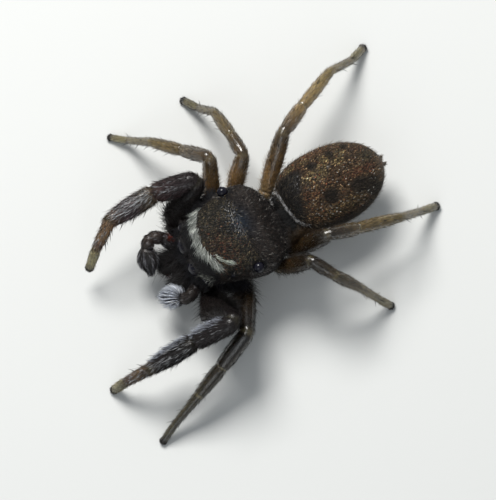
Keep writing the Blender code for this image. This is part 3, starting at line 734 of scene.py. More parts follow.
# ---- Abdomen -----------------------------------------------------------------------------------
# A soft egg-shaped sac, blunt in front, its thin skin drawn in a little where muscles hold it: two
# pairs of dimples on the back, and a shallow fold across the belly. The scales hide most of it.
ABDOMEN_FRONT, ABDOMEN_REAR = spot(-.165, 1.47, 1.80), spot(-.42, 4.90, 1.38)
ABDOMEN_HALF_WIDTH, ABDOMEN_HALF_HEIGHT, ABDOMEN_FULLEST = 1.225, .96, .46
ABDOMEN_AROUND, ABDOMEN_ROWS = 112, 100
ABDOMEN_PLUM, ABDOMEN_BLACK = np.array((.022, .015, .012)), np.array((.006, .006, .006))
ABDOMEN_COPPER, ABDOMEN_GOLD = np.array((.108, .063, .032)), np.array((.215, .158, .070))
ABDOMEN_OLIVE, ABDOMEN_RUST = np.array((.078, .068, .038)), np.array((.220, .070, .034))
BELLY_GREY = np.array((.042, .036, .030))
# Share of the length, millimetres to the left, reach of each, and how strong: dark spots, gold, rust.
# The dark spots are larger on the left and partly painted shade; the gold patches and the gold edge lie
# mostly on the right and are partly painted light.
DARK_SPOTS_AND_PAINTED_SHADE = ((.364, -.60, .042, .15, 1), (.558, -.71, .044, .15, 1), (.71, -.77, .03, .10, 1),
              (.383, .48, .075, .21, 1), (.650, .56, .085, .24, 1), (.77, .68, .08, .26, 1),
              (.82, .85, .10, .2, 1))
GOLD_PATCHES_AND_PAINTED_LIGHT = ((.49, -.64, .045, .14, 1), (.437, -.42, .05, .15, 1), (.397, -.22, .05, .13, .8),
                (.626, -.60, .055, .15, 1), (.585, -.38, .055, .14, 1), (.26, -.33, .055, .14, .7),
                (.33, -.38, .05, .13, .6), (.30, -.10, .06, .2, .35), (.46, .86, .22, .15, .35),
                (.33, -.86, .05, .10, .5))
RUST_PATCHES = ((.813, .17, .055, .14, 1), (.70, .19, .07, .13, .65), (.58, .26, .05, .11, .4),
                (.234, -.76, .05, .12, .55), (.43, -1.0, .11, .12, .35), (.80, -.52, .06, .12, .45),
                (.235, .18, .06, .2, .22))
GOLD_EDGE_AND_PAINTED_LIGHT = (.19, -.86, .045, .08, 1)
abdomen_axis = ABDOMEN_REAR - ABDOMEN_FRONT
abdomen_across = abdomen_axis.cross(Vector((0, 0, 1))).normalized()
abdomen_up = abdomen_across.cross(abdomen_axis).normalized()


def abdomen_girth(along):
    """Half width as a share of the greatest, at a share of the length."""
    before = 1 - np.maximum(1 - along / ABDOMEN_FULLEST, 0) ** 2.8
    after = 1 - np.maximum((along - ABDOMEN_FULLEST) / (1 - ABDOMEN_FULLEST), 0) ** 2.2
    return np.where(along < ABDOMEN_FULLEST, before ** (1 / 2.5), np.maximum(after, 0) ** 0.52)


def abdomen_place(points):
    """Share of the length, and millimetres to the left of the middle line and above the axis."""
    arm = np.asarray(points) - np.array(ABDOMEN_FRONT)
    return (arm @ np.array(abdomen_axis) / abdomen_axis.length_squared,
            arm @ np.array(abdomen_across) / MM, arm @ np.array(abdomen_up) / MM)


def abdomen_marking(points):
    """Copper and gold behind a black front, pairs of black spots, rust behind, and dark flanks. The gold
    is partly painted light on the right half, the black spots are partly painted shade on the left, and
    the near-black lower left flank is painted shade.
    """
    along, left, up = abdomen_place(points)

    def patches(spots):
        return sum(much * smooth_step(((left - aside) / wide) ** 2 + ((along - where) / long) ** 2, 1.7, .35)
                   for where, aside, long, wide, much in spots).clip(0, 1)

    colour = mix(BELLY_GREY, ABDOMEN_PLUM, smooth_step(up, -.45, 0))
    back = smooth_step(up, -.05, .35)
    colour = mix(colour, ABDOMEN_COPPER, back * 0.85)
    colour = mix(colour, ABDOMEN_GOLD, back * patches(GOLD_PATCHES_AND_PAINTED_LIGHT) * 0.85)
    colour = mix(colour, ABDOMEN_RUST, back * patches(RUST_PATCHES) * 0.8)
    colour = mix(colour, ABDOMEN_OLIVE,
                 back * np.exp(-((left + .22) / .26) ** 2 - ((along - .845) / .085) ** 2))
    edge = .15 - .17 * np.minimum(left, 0) - .06 * np.maximum(left, 0)
    black = smooth_step(along, edge + .035, edge - .025) * smooth_step(left, -.90, -.68)
    black = np.maximum(black, patches(DARK_SPOTS_AND_PAINTED_SHADE) * 0.93)
    # A near-black lower left flank: painted shade.
    black = np.maximum(black, smooth_step(up, .52, .18) * smooth_step(left, .2, .7))
    colour = mix(colour, ABDOMEN_BLACK, (back * black).clip(0, 1) * 0.97)
    return mix(colour, ABDOMEN_GOLD, patches((GOLD_EDGE_AND_PAINTED_LIGHT,)) * smooth_step(up, .1, .4) * 0.7)


share = (1 - np.cos(np.pi * np.arange(ABDOMEN_ROWS + 1) / ABDOMEN_ROWS)) / 2
turn = np.arange(ABDOMEN_AROUND) * 2 * np.pi / ABDOMEN_AROUND
girth = abdomen_girth(share) * (share > 0) * (share < 1)
flat = (girth * (ABDOMEN_HALF_WIDTH - COAT_DEPTH * 1.4))[:, None] * np.cos(turn)
rise = (girth * (ABDOMEN_HALF_HEIGHT - COAT_DEPTH * 1.4))[:, None] * np.sin(turn)
for where, aside in ((.41, .56), (.63, .62)):
    dimple = np.exp(-((abs(flat) - aside) / .07) ** 2 - ((share[:, None] - where) / .022) ** 2)
    rise = rise - .03 * dimple * (np.sin(turn) > 0)
rise = rise + .035 * np.exp(-((share[:, None] - .2) / .02) ** 2) * (np.sin(turn) < -.3)
share = 0.012 + 0.976 * share
abdomen_points = (np.array(ABDOMEN_FRONT) + share[:, None, None] * np.array(abdomen_axis)
                  + flat[..., None] * np.array(abdomen_across) * MM
                  + rise[..., None] * np.array(abdomen_up) * MM)
abdomen_lie = np.repeat(np.array(abdomen_axis.normalized())[None, :], ABDOMEN_ROWS + 1, axis=0)
abdomen_skin = skin_finish("abdomen_skin", 0.42, 30, 0.35, 150, 110, 0.7, 0.05)
abdomen = lay_skin("skin_abdomen", abdomen_points, abdomen_lie, abdomen_marking(abdomen_points) * 0.4,
                   abdomen_skin)
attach(abdomen, "root")
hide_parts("abdomen")


# ---- Stalk and spinnerets ----------------------------------------------------------------------
# The narrow stalk joins thorax and abdomen. Six soft spinnerets stand in a bunch at the rear tip,
# two large ones below, two above and a small pair between, round the little anal knob.
def plain_colour(limb, colour):
    """One horn colour, a little darker above."""
    above = (0.5 - 0.5 * np.sin(limb.turn))[None, :, None]
    return (np.ones((len(limb.station), 1, 1)) * np.array(colour)) * (1.1 - 0.35 * above)


def round_sections(*sections):
    """Sections that are round, from (station, radius)."""
    return [(station, radius, radius, radius) for station, radius in sections]


def join_pieces(name, pieces, finish):
    """Several skins as one object."""
    whole = bmesh.new()
    for piece in pieces:
        whole.from_mesh(piece.data)
        bpy.data.objects.remove(piece)
    mesh = bpy.data.meshes.new(name)
    whole.to_mesh(mesh)
    whole.free()
    mesh.shade_smooth()
    return add_object(name, mesh, finish)


stalk_limb = Limb([spot(0, 1.0, 1.16), spot(-.06, 1.22, 1.30), spot(-.13, 1.50, 1.46)],
                  ((0, .13, .13, .13), (1, .115, .11, .11), (2, .14, .14, .14)),
                  np.array((1.0, 0, 0)), 0.1, ((.7, .12, .04), (1.3, .12, .04)))
stalk = lay_skin("skin_pedicel", stalk_limb.grid, stalk_limb.heading,
                 plain_colour(stalk_limb, (.03, .02, .014)), leg_skin)
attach(stalk, "root")
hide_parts("pedicel")

SPINNERETS = ((.085, -.20, .075, .15), (.080, -.09, .062, .14), (.030, -.14, .032, .10), (0, .0, .045, .07))
abdomen_back = abdomen_axis.normalized()
buds = []
for aside, up, radius, length in SPINNERETS:
    for mirror in ((1, -1) if aside else (1,)):
        start = (ABDOMEN_REAR + (abdomen_across * -aside * mirror + abdomen_up * up) * MM
                 - abdomen_back * .06 * MM)
        away = (abdomen_back + abdomen_across * (-0.25 * mirror * (aside > 0))
                + abdomen_up * (-0.12 if up < 0 else .1))
        steps = [start + away * length * MM * part for part in (0, .55, 1)]
        sections = round_sections((0, radius), (.8, radius * .95), (1.05, radius * .75), (2, radius * .5))
        bud = Limb(steps, sections, np.array(abdomen_across), 0.05, ((1, .1, .02),), around=16)
        buds.append(lay_skin("bud", bud.grid, bud.heading, plain_colour(bud, (.060, .040, .024)), leg_skin))
spinnerets = join_pieces("skin_spinnerets", buds, leg_skin)
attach(spinnerets, "root")
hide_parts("spinnerets")


# ---- Underside ---------------------------------------------------------------------------------
# A breastplate of brown horn, narrower behind, lies between the hips, with a small lower lip before
# it and two blunt pads beside the mouth. All are paler at the rim. A soft dark membrane closes the
# body's sides.
def ball_grid(centre, half, rows=40, around=48, taper=0.0, squareness=2.0):
    """Points of a rounded plate whose poles are in front and behind."""
    polar = np.pi * np.arange(rows + 1) / rows
    turn = np.arange(around) * 2 * np.pi / around
    power = 2 / squareness
    ring = np.sin(polar) ** power
    x = ring[:, None] * np.sign(np.cos(turn)) * abs(np.cos(turn)) ** power * half[0]
    y = np.repeat(-np.cos(polar)[:, None], around, axis=1) * half[1]
    z = ring[:, None] * np.sign(np.sin(turn)) * abs(np.sin(turn)) ** power * half[2]
    x = x * (1 - taper * np.maximum(y / half[1], 0) ** 2)
    return np.stack([x, y, z], axis=-1) * MM + np.array(spot(*centre))


def plate(name, grid, colour, finish, slot, *nodes):
    """A plate of the underside in one colour, paler towards its rim."""
    middle = grid.reshape(-1, 3).mean(0)
    off = np.linalg.norm((grid - middle)[..., :2], axis=-1)
    tint = np.array(colour) * (0.85 + 0.5 * (off / off.max())[..., None] ** 2)
    lie = np.repeat(np.array([[0.0, 1.0, 0.0]]), grid.shape[0], axis=0)
    made = lay_skin(name, grid, lie, tint, finish)
    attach(made, "root")
    if nodes:
        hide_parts(*nodes)
    return made


sternum = plate("skin_sternum", ball_grid((0, -.08, 1.07), (.275, .82, .235), taper=.35), (.030, .018, .012),
                leg_skin, "underside", "sternum")
plate("lower_lip", ball_grid((0, -1.0, .98), (.10, .12, .10)), (.040, .024, .016), leg_skin, "underside")
for side, mirror in SIDES.items():
    pad = ball_grid((.165 * mirror, -1.13, .93), (.138, .160, .138), squareness=2.4)
    plate(f"skin_endite_{side}", pad, (.055, .032, .020), leg_skin, "underside", f"endite_{side}")
plate("side_membrane", ball_grid((0, -.20, 1.27), (.86, 1.22, .20), squareness=2.6), (.020, .015, .012),
      leg_skin, "underside")


# ---- Jaws --------------------------------------------------------------------------------------
# Two stout dark jaws hang below the front eyes. Each ends in a curved fang of glossy red-brown horn
# that folds inward across the jaw's tip.
jaw_skin = skin_finish("jaw_skin", 0.22, 36, 0.3, 30, 40, 0.8, 0.03)
fang_horn, tree, shader = plain_material("fang_horn", (0.09, 0.018, 0.008), 0.12)
shader["Coat Weight"].default_value = 0.4
fang_tone = tree.nodes.new("ShaderNodeAttribute")
fang_tone.attribute_name = "marking"
tree.links.new(fang_tone.outputs["Color"], shader["Base Color"])
jaws = {}
for side, mirror in SIDES.items():
    base, tip = (.285 * mirror, -1.57, 1.15), (.33 * mirror, -2.28, .68)
    jaw = Limb([spot(*base), spot(*(np.array(base) * .5 + np.array(tip) * .5)), spot(*tip)],
               ((0, .235, .27, .27), (.9, .245, .33, .33), (1.6, .225, .28, .28), (2, .195, .22, .22)),
               np.array((1.0, 0, 0)), 0.2, ())
    grid = jaw.grid.copy()
    grid[..., 2] = np.minimum(grid[..., 2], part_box("carapace")[0].z - .02 * MM)
    jaws[side] = lay_skin(f"skin_chelicera_{side}", grid, jaw.heading, plain_colour(jaw, (.012, .008, .007)),
                          jaw_skin)
    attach(jaws[side], "root")
    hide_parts(f"chelicera_{side}")
    path = [spot(x * mirror, y, z) for x, y, z in ((.40, -2.40, .34), (.33, -2.41, .295), (.24, -2.37, .28),
                                                   (.07, -2.28, .28))]
    sections = round_sections((0, .062), (1, .052), (2, .038), (2.6, .018), (3, .006))
    fang = Limb(path, sections, np.array((0, 0, 1.0)), 0.05, (), 16, .02)
    dark = smooth_step(fang.station, 0, 3)[:, None, None]
    red = mix(np.array((.05, .014, .010)), np.array((.20, .035, .012)), np.repeat(dark[..., 0], 16, axis=1))
    fang_piece = lay_skin(f"horn_fang_{side}", fang.grid, fang.heading, red, fang_horn)
    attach(fang_piece, "root")
    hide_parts(f"fang_{side}")


# ---- Palps -------------------------------------------------------------------------------------
# A pair of short feelers before the jaws. The right one reaches out and curls down; the left one is
# folded over. Their last joint is a swollen pad, which grey and white hairs cover.
PALP_COLOURS = ((0, .007, .006, .006), (.25, .014, .010, .009), (.50, .048, .032, .025),
                (.72, .058, .044, .038), (.86, .020, .018, .018), (1, .030, .029, .030))
RIGHT_PALP = ((-.68, -1.88, 1.24), (-1.02, -2.09, 1.46), (-1.17, -2.42, 1.50), (-.98, -2.68, 1.32),
              (-.40, -2.80, .98))
LEFT_ROOT, LEFT_WRIST, LEFT_TIP = (
    np.array(p) for p in ((.68, -1.88, 1.24), (.92, -2.32, 1.30), (.60, -2.72, .96)))
ARCH_LEAN, ARCH_LEGS, ARCH_STEPS = unit((.40, .23, .89)), .12, 5


def left_palp_joints():
    """The arch of the left palp, from its root over to its wrist and tip."""
    middle, span = (LEFT_ROOT + LEFT_WRIST) / 2 + ARCH_LEAN * ARCH_LEGS, (LEFT_WRIST - LEFT_ROOT) / 2
    arch = [middle - span * math.cos(t) + ARCH_LEAN * np.linalg.norm(span) * math.sin(t)
            for t in np.linspace(0, math.pi, ARCH_STEPS + 1)]
    return [LEFT_ROOT, *arch, LEFT_WRIST, LEFT_TIP]


# Joints, sections, pinches and the station of the wrist
PALP_SHAPES = {
    "right": (RIGHT_PALP,
              ((0, .165, .17, .17), (.6, .18, .185, .185), (1, .165, .17, .17), (1.5, .19, .195, .195),
               (2, .17, .175, .175), (2.5, .19, .19, .19), (3, .165, .165, .165), (3.2, .23, .22, .23),
               (3.5, .30, .26, .29), (3.8, .26, .22, .25), (4, .15, .13, .14)),
              ((1, .14, .04), (2, .16, .04), (3, .16, .035)), 3),
    "left": (left_palp_joints(),
             ((0, .155, .16, .16), (2, .165, .17, .165), (4, .17, .175, .165), (6, .165, .165, .16),
              (7, .15, .15, .15), (7.25, .20, .19, .20), (7.55, .24, .22, .24), (7.85, .20, .18, .20),
              (8, .12, .11, .12)),
             ((3, .14, .04), (5, .14, .04), (7, .16, .035)), 7),
}
palp_skin = skin_finish("palp_skin", 0.34, 36, 0.35, 24, 50, 0.6, 0.05)
palps, palp_skins = {}, {}
for side, (joints, sections, pinches, wrist) in PALP_SHAPES.items():
    palp = Limb([spot(*joint) for joint in joints], sections, np.array((1.0, .35, 0)), 0.12, pinches)
    last = len(joints) - 1
    share = np.where(palp.station < wrist, palp.station / wrist * .8, .8 + (palp.station - wrist) * .2)
    tint = through([row[0] for row in PALP_COLOURS], [row[1:] for row in PALP_COLOURS], share)
    tint = np.repeat(tint[:, None, :], len(palp.turn), axis=1)
    # The left palp's skin is half as light as the right one's: painted shade.
    tint = tint * (1.0 if side == "right" else 0.5)
    palp_skins[side] = lay_skin(f"skin_palp_{side}", palp.grid, palp.heading, tint, palp_skin)
    palps[side] = palp
    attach(palp_skins[side], "root")
    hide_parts(f"palp_{side}_limb", f"palp_{side}_cymbium")


# ---- Coat of the legs --------------------------------------------------------------------------
# Fine hairs grow from the skin and lie towards the toes, with spines, a tuft and two claws on each
# foot. The forelegs are denser and carry pale streaks, and the left one a fringe on its inner edge.
# Each hair is a closed tapered cone sunk into the skin.
class Roots:
    """Places on a skin where hairs grow, each with its normal, lie, marking and unwrap."""

    def __init__(self, skin, count, rng, density=None):
        mesh = skin.data
        mesh.calc_loop_triangles()
        total = len(mesh.loop_triangles)
        corners, loops = np.empty(total * 3, np.int32), np.empty(total * 3, np.int32)
        mesh.loop_triangles.foreach_get("vertices", corners)
        mesh.loop_triangles.foreach_get("loops", loops)

        def read(source, key, width, index):
            values = np.empty(len(source) * width, np.float32)
            source.foreach_get(key, values)
            return values.reshape(-1, width)[index].reshape(total, 3, width).astype(float)

        place = read(mesh.vertices, "co", 3, corners)
        normal = read(mesh.vertices, "normal", 3, corners)
        lie = read(mesh.attributes["lie"].data, "vector", 3, corners)
        marking = read(mesh.attributes["marking"].data, "color", 4, corners)[..., :3]
        unwrap = read(mesh.uv_layers["unwrap"].data, "uv", 2, loops)
        weight = np.linalg.norm(np.cross(place[:, 1] - place[:, 0], place[:, 2] - place[:, 0]), axis=1)
        if density is not None:
            weight = weight * np.clip(density(place.mean(1), unit(normal.mean(1)), unwrap.mean(1)), 0, None)
        edges = np.cumsum(weight) / weight.sum()
        chosen = np.searchsorted(edges, (np.arange(count) + rng.random(count)) / count).clip(0, total - 1)
        a, b = rng.random((2, count))
        a, b = np.where(a + b > 1, 1 - a, a), np.where(a + b > 1, 1 - b, b)
        share = np.stack([1 - a - b, a, b], axis=1)[..., None]
        self.place, self.marking = ((part[chosen] * share).sum(1) for part in (place, marking))
        self.unwrap = (unwrap[chosen] * share).sum(1)
        self.normal = unit((normal[chosen] * share).sum(1))
        self.lean((lie[chosen] * share).sum(1))
        self.count = count

    def lean(self, way):
        """Lay the hairs along a way, flat on the skin."""
        way = np.broadcast_to(way, self.place.shape)
        self.lie = unit(way - self.normal * (way * self.normal).sum(1, keepdims=True))
        self.side = np.cross(self.lie, self.normal)

    def swing(self, angle):
        """Turn each hair on the skin by its own angle."""
        turned = self.lie * np.cos(angle)[:, None] + self.side * np.sin(angle)[:, None]
        self.lie, self.side = turned, np.cross(turned, self.normal)

    def pick(self, keep):
        """Only some of the roots."""
        some = object.__new__(Roots)
        for part in ("place", "marking", "unwrap", "normal", "lie", "side"):
            setattr(some, part, getattr(self, part)[keep])
        some.count = len(some.place)
        return some


class Coat:
    """Hairs and scales gathered into one joined mesh, with a small bake patch at each root."""
    PATCH = 0.003           # the bake patch, as a share of the unwrap
    HAIR_ROOT = 0.4         # how deep a hair starts below the skin, as a share of its width
    SCALE_ROOT = 0.010      # how deep a scale's root lies below its base
    FLOOR_GAP = 0.002       # no hair reaches lower than this above the floor

    def __init__(self):
        self.parts, self.start = [], 0

    def add(self, roots, corners, faces, patch, colour, shade):
        """One shape for each root: its corners, the faces and patch they share, and its colour."""
        index = (np.arange(roots.count) * corners.shape[1])[:, None, None] + faces + self.start
        unwrap = roots.unwrap.clip(self.PATCH, 1 - self.PATCH)[:, None, :] + patch[None] * self.PATCH / 2
        tint = np.broadcast_to(colour, (roots.count, 3))[:, None, :] * np.asarray(shade)[None, :, None]
        self.parts.append((corners.reshape(-1, 3), index.reshape(-1, 3), unwrap.reshape(-1, 2),
                           tint.clip(0, 1).reshape(-1, 3)))
        self.start += roots.count * corners.shape[1]

    def hairs(self, roots, colour, length, width, lift, bend=0.5, sides=3, joints=2, tip=0.0):
        """Tapered hairs, which leave the skin at an angle and bend back to it. Sizes are millimetres."""
        length, width, lift = (np.broadcast_to(x, roots.count).astype(float) for x in (length, width, lift))
        centre = roots.place - roots.normal * (width * self.HAIR_ROOT * MM)[:, None]
        rings = []
        for joint in range(joints):
            taper = 0.5 * width * MM * (1 - (1 - tip) * (joint / joints) ** 1.5)
            around = np.arange(sides) * 2 * np.pi / sides + np.pi / 2
            rings.append(centre[:, None, :] + taper[:, None, None] * (
                roots.side[:, None, :] * np.cos(around)[None, :, None]
                + roots.normal[:, None, :] * np.sin(around)[None, :, None]))
            angle = lift * (1 - bend * (joint + 0.5) / joints)
            way = roots.lie * np.cos(angle)[:, None] + roots.normal * np.sin(angle)[:, None]
            centre = centre + unit(way) * (length * MM / joints)[:, None]
        corners = np.concatenate(rings + [centre[:, None, :]], axis=1)
        corners[..., 2] = np.maximum(corners[..., 2], self.FLOOR_GAP * MM)
        faces, last = [], joints * sides
        for joint in range(joints):
            for k in range(sides):
                a, b = joint * sides + k, joint * sides + (k + 1) % sides
                if joint < joints - 1:
                    faces += [(a, b, b + sides), (a, b + sides, a + sides)]
                else:
                    faces.append((a, b, last))
        faces += [(0, k + 1, k) for k in range(1, sides - 1)]
        along = np.append(np.repeat(np.arange(joints) / joints, sides), 1.0)
        across = np.append(np.tile(np.cos(np.arange(sides) * 2 * np.pi / sides + np.pi / 2), joints), 0)
        self.add(roots, corners, np.array(faces)[:, ::-1], np.stack([across, 2 * along - 1], axis=1), colour,
                 0.62 + 0.5 * along)

    def scales(self, roots, colour, length, width, lift):
        """Leaf-shaped scales, raised a little along the middle. Sizes are millimetres."""
        length, width, lift = (np.broadcast_to(x, roots.count).astype(float)[:, None] * k
                               for x, k in ((length, MM), (width, MM), (lift, 1)))
        onward = roots.lie * np.cos(lift) + roots.normal * np.sin(lift)
        up = roots.normal * np.cos(lift) - roots.lie * np.sin(lift)
        base = roots.place + up * 0.002 * MM - onward * 0.15 * length
        side = roots.side * width * 0.5
        shoulder, middle = base + onward * 0.42 * length, base + onward * 0.45 * length
        root = base - up * self.SCALE_ROOT * MM
        corners = np.stack([root, shoulder + side, shoulder - side, base + onward * length,
                            middle + up * 0.28 * width, middle - up * 0.04 * width], axis=1)
        faces = ((0, 2, 4), (2, 3, 4), (3, 1, 4), (1, 0, 4), (0, 1, 5), (1, 3, 5), (3, 2, 5), (2, 0, 5))
        patch = np.array(((0, -1), (1, 0), (-1, 0), (0, 1), (0, 0), (0, 0)), float)
        # Each scale is darker at its root and underside and lighter on its ridge and tip: painted shade and
        # light.
        self.add(roots, corners, np.array(faces)[:, ::-1], patch, colour, (.6, .9, .9, 1.1, 1.1, .7))

    def grow(self, skin, count, rng, swing, tint, tone, length, vary, width, lift, bend=0.5, way=None,
             density=None, joints=3):
        """Hairs of one kind on a skin: how far they swing aside, how their tone and length vary, between
        which two lifts they stand and, if given, the way they lean and where they are dense."""
        roots = Roots(skin, count, rng, density)
        if way is not None:
            roots.lean(np.array(way))
        roots.swing(rng.normal(0, swing, roots.count))
        self.hairs(roots, np.array(tint) * uneven(rng, roots.count, tone)[:, None],
                   length * uneven(rng, roots.count, vary), width, rng.uniform(*lift, roots.count), bend,
                   joints=joints)

    def piece(self, name, finish, slot):
        """The joined mesh as a piece that rides on the frame."""
        places, faces, unwrap, tint = (np.concatenate(x) for x in zip(*self.parts))
        mesh = bpy.data.meshes.new(name)
        mesh.vertices.add(len(places))
        mesh.vertices.foreach_set("co", places.astype(np.float32).ravel())
        mesh.loops.add(faces.size)
        mesh.loops.foreach_set("vertex_index", faces.astype(np.int32).ravel())
        mesh.polygons.add(len(faces))
        mesh.polygons.foreach_set("loop_start", np.arange(0, faces.size, 3, dtype=np.int32))
        mesh.update(calc_edges=True)
        bake = mesh.uv_layers.new(name="OFBake")
        bake.data.foreach_set("uv", unwrap[faces.ravel()].astype(np.float32).ravel())
        marking = mesh.attributes.new("marking", "FLOAT_COLOR", "POINT")
        marking.data.foreach_set("color", np.c_[tint, np.ones(len(tint))].astype(np.float32).ravel())
        mesh.shade_smooth()
        made = add_object(name, mesh, finish)
        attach(made, "root")


def coat_finish(name, roughness, metallic=0.0, sheen=0.0, gloss=0.5):
    """Hair or scale in its own marking, with fine uneven tone."""
    made, tree, shader = plain_material(name, (0.1, 0.08, 0.06), roughness)
    marking = tree.nodes.new("ShaderNodeAttribute")
    marking.attribute_name = "marking"
    grain = tree.nodes.new("ShaderNodeGroup")
    grain.node_tree = grain_group
    grain.inputs["Grains per mm"].default_value = 60
    grain.inputs["Tone change"].default_value = 0.25
    toned = tree.nodes.new("ShaderNodeVectorMath")
    toned.operation = "SCALE"
    tree.links.new(marking.outputs["Color"], toned.inputs[0])
    tree.links.new(grain.outputs["Tone"], toned.inputs["Scale"])
    tree.links.new(toned.outputs[0], shader["Base Color"])
    shader["Metallic"].default_value = metallic
    shader["Specular IOR Level"].default_value = gloss
    if sheen:
        shader["Sheen Weight"].default_value = sheen
    return made


def station_of(limb, roots_unwrap):
    """Where along the limb a root is, in bones from its start."""
    rows = len(limb.station) - 1
    return np.interp(roots_unwrap[:, 1] * rows, np.arange(rows + 1), limb.station)


def uneven(rng, count, spread):
    """Factors about one, never below zero."""
    return np.exp(rng.normal(0, spread, count))


hair_finish = coat_finish("leg_hair", 0.42, gloss=0.32)
claw_horn = plain_material("claw_horn", (0.012, 0.009, 0.008), 0.18)[0]
# Hair length in millimetres at each station
HAIR_LENGTH = {
    "fore": ((0, .10), (1, .12), (2, .15), (2.5, .17), (3, .18), (3.6, .20), (4, .17), (5, .12), (6, .08)),
    "rear": ((0, .09), (1, .10), (1.5, .12), (2, .12), (3, .13), (3.6, .14), (4, .13), (5, .10), (6, .07)),
}
DARK_HAIR, PALE_HAIR = np.array((.022, .017, .016)), np.array((.40, .41, .42))
AMBER_HAIR, TOE_HAIR = np.array((.085, .060, .036)), np.array((.30, .27, .17))
FRINGE_HAIR = np.array((.42, .45, .52))
# Turns in degrees of the pale streaks on the patella, and of the middle of those on the tibia
FORELEG_LINES, STREAKED_SIDE = {"right": (300, 340), "left": (236,)}, {"right": 322, "left": 236}
INNER_EDGE = np.array((-.88, -.42, .22))


def foreleg_pale(side, station, turn):
    """How likely each hair of a foreleg is pale: streaks on patella and tibia, freely on the toe."""
    lines = sum(np.exp(-((turn - line) / 6.5) ** 2) for line in FORELEG_LINES[side])
    patella = smooth_step(station, 2.15, 2.3) * smooth_step(station, 3.0, 2.9)
    tibia = smooth_step(station, 3.05, 3.15) * smooth_step(station, 4.0, 3.9)
    ripple = 0.5 + 0.5 * np.sin(np.radians(turn) * 15 + 1.5 * np.sin(station * 7))
    facing = np.exp(-((turn - STREAKED_SIDE[side]) / 48) ** 4)
    # The left foreleg gets fewer pale streaks: partly painted shade.
    much = 1.0 if side == "right" else 0.42
    return (patella * (0.38 * much * lines + 0.01)
            + tibia * (0.03 + much * facing * (0.22 + 0.78 * ripple ** 2))
            + 0.16 * smooth_step(station, 4.0, 4.2) * smooth_step(station, 5, 4.9)
            + 0.5 * smooth_step(station, 5.05, 5.2))


def bristle_roots(limb, spots):
    """Roots for the few large spines or claws of a limb, at given stations and turns."""
    some = object.__new__(Roots)
    rows = len(limb.station) - 1
    at = [limb.at(station, turn) for station, turn in spots]
    some.place, some.normal, some.lie = (np.array(x) for x in zip(*at))
    some.side = np.cross(some.lie, some.normal)
    some.unwrap = np.array([(turn % 360 / 360, np.interp(station, limb.station, np.arange(rows + 1)) / rows)
                            for station, turn in spots])
    some.marking = np.zeros_like(some.place)
    some.count = len(some.place)
    return some


# Station and turn of each spine
FORE_SPINES = [(s, t) for s in (3.30, 3.55, 3.80, 4.25, 4.62) for t in (48, 122)] + [
    (3.45, 5), (3.75, 190), (2.6, 10), (1.75, 262), (1.62, 282), (1.9, 240)]
REAR_SPINES = [(3.40, 40), (3.40, 140), (3.72, 60), (3.72, 120), (3.55, 268), (4.15, 45), (4.15, 200),
               (4.55, 60), (4.55, 140), (4.93, 20), (4.93, 90), (4.93, 160), (4.93, 250), (1.55, 270),
               (1.8, 250), (1.8, 290)]
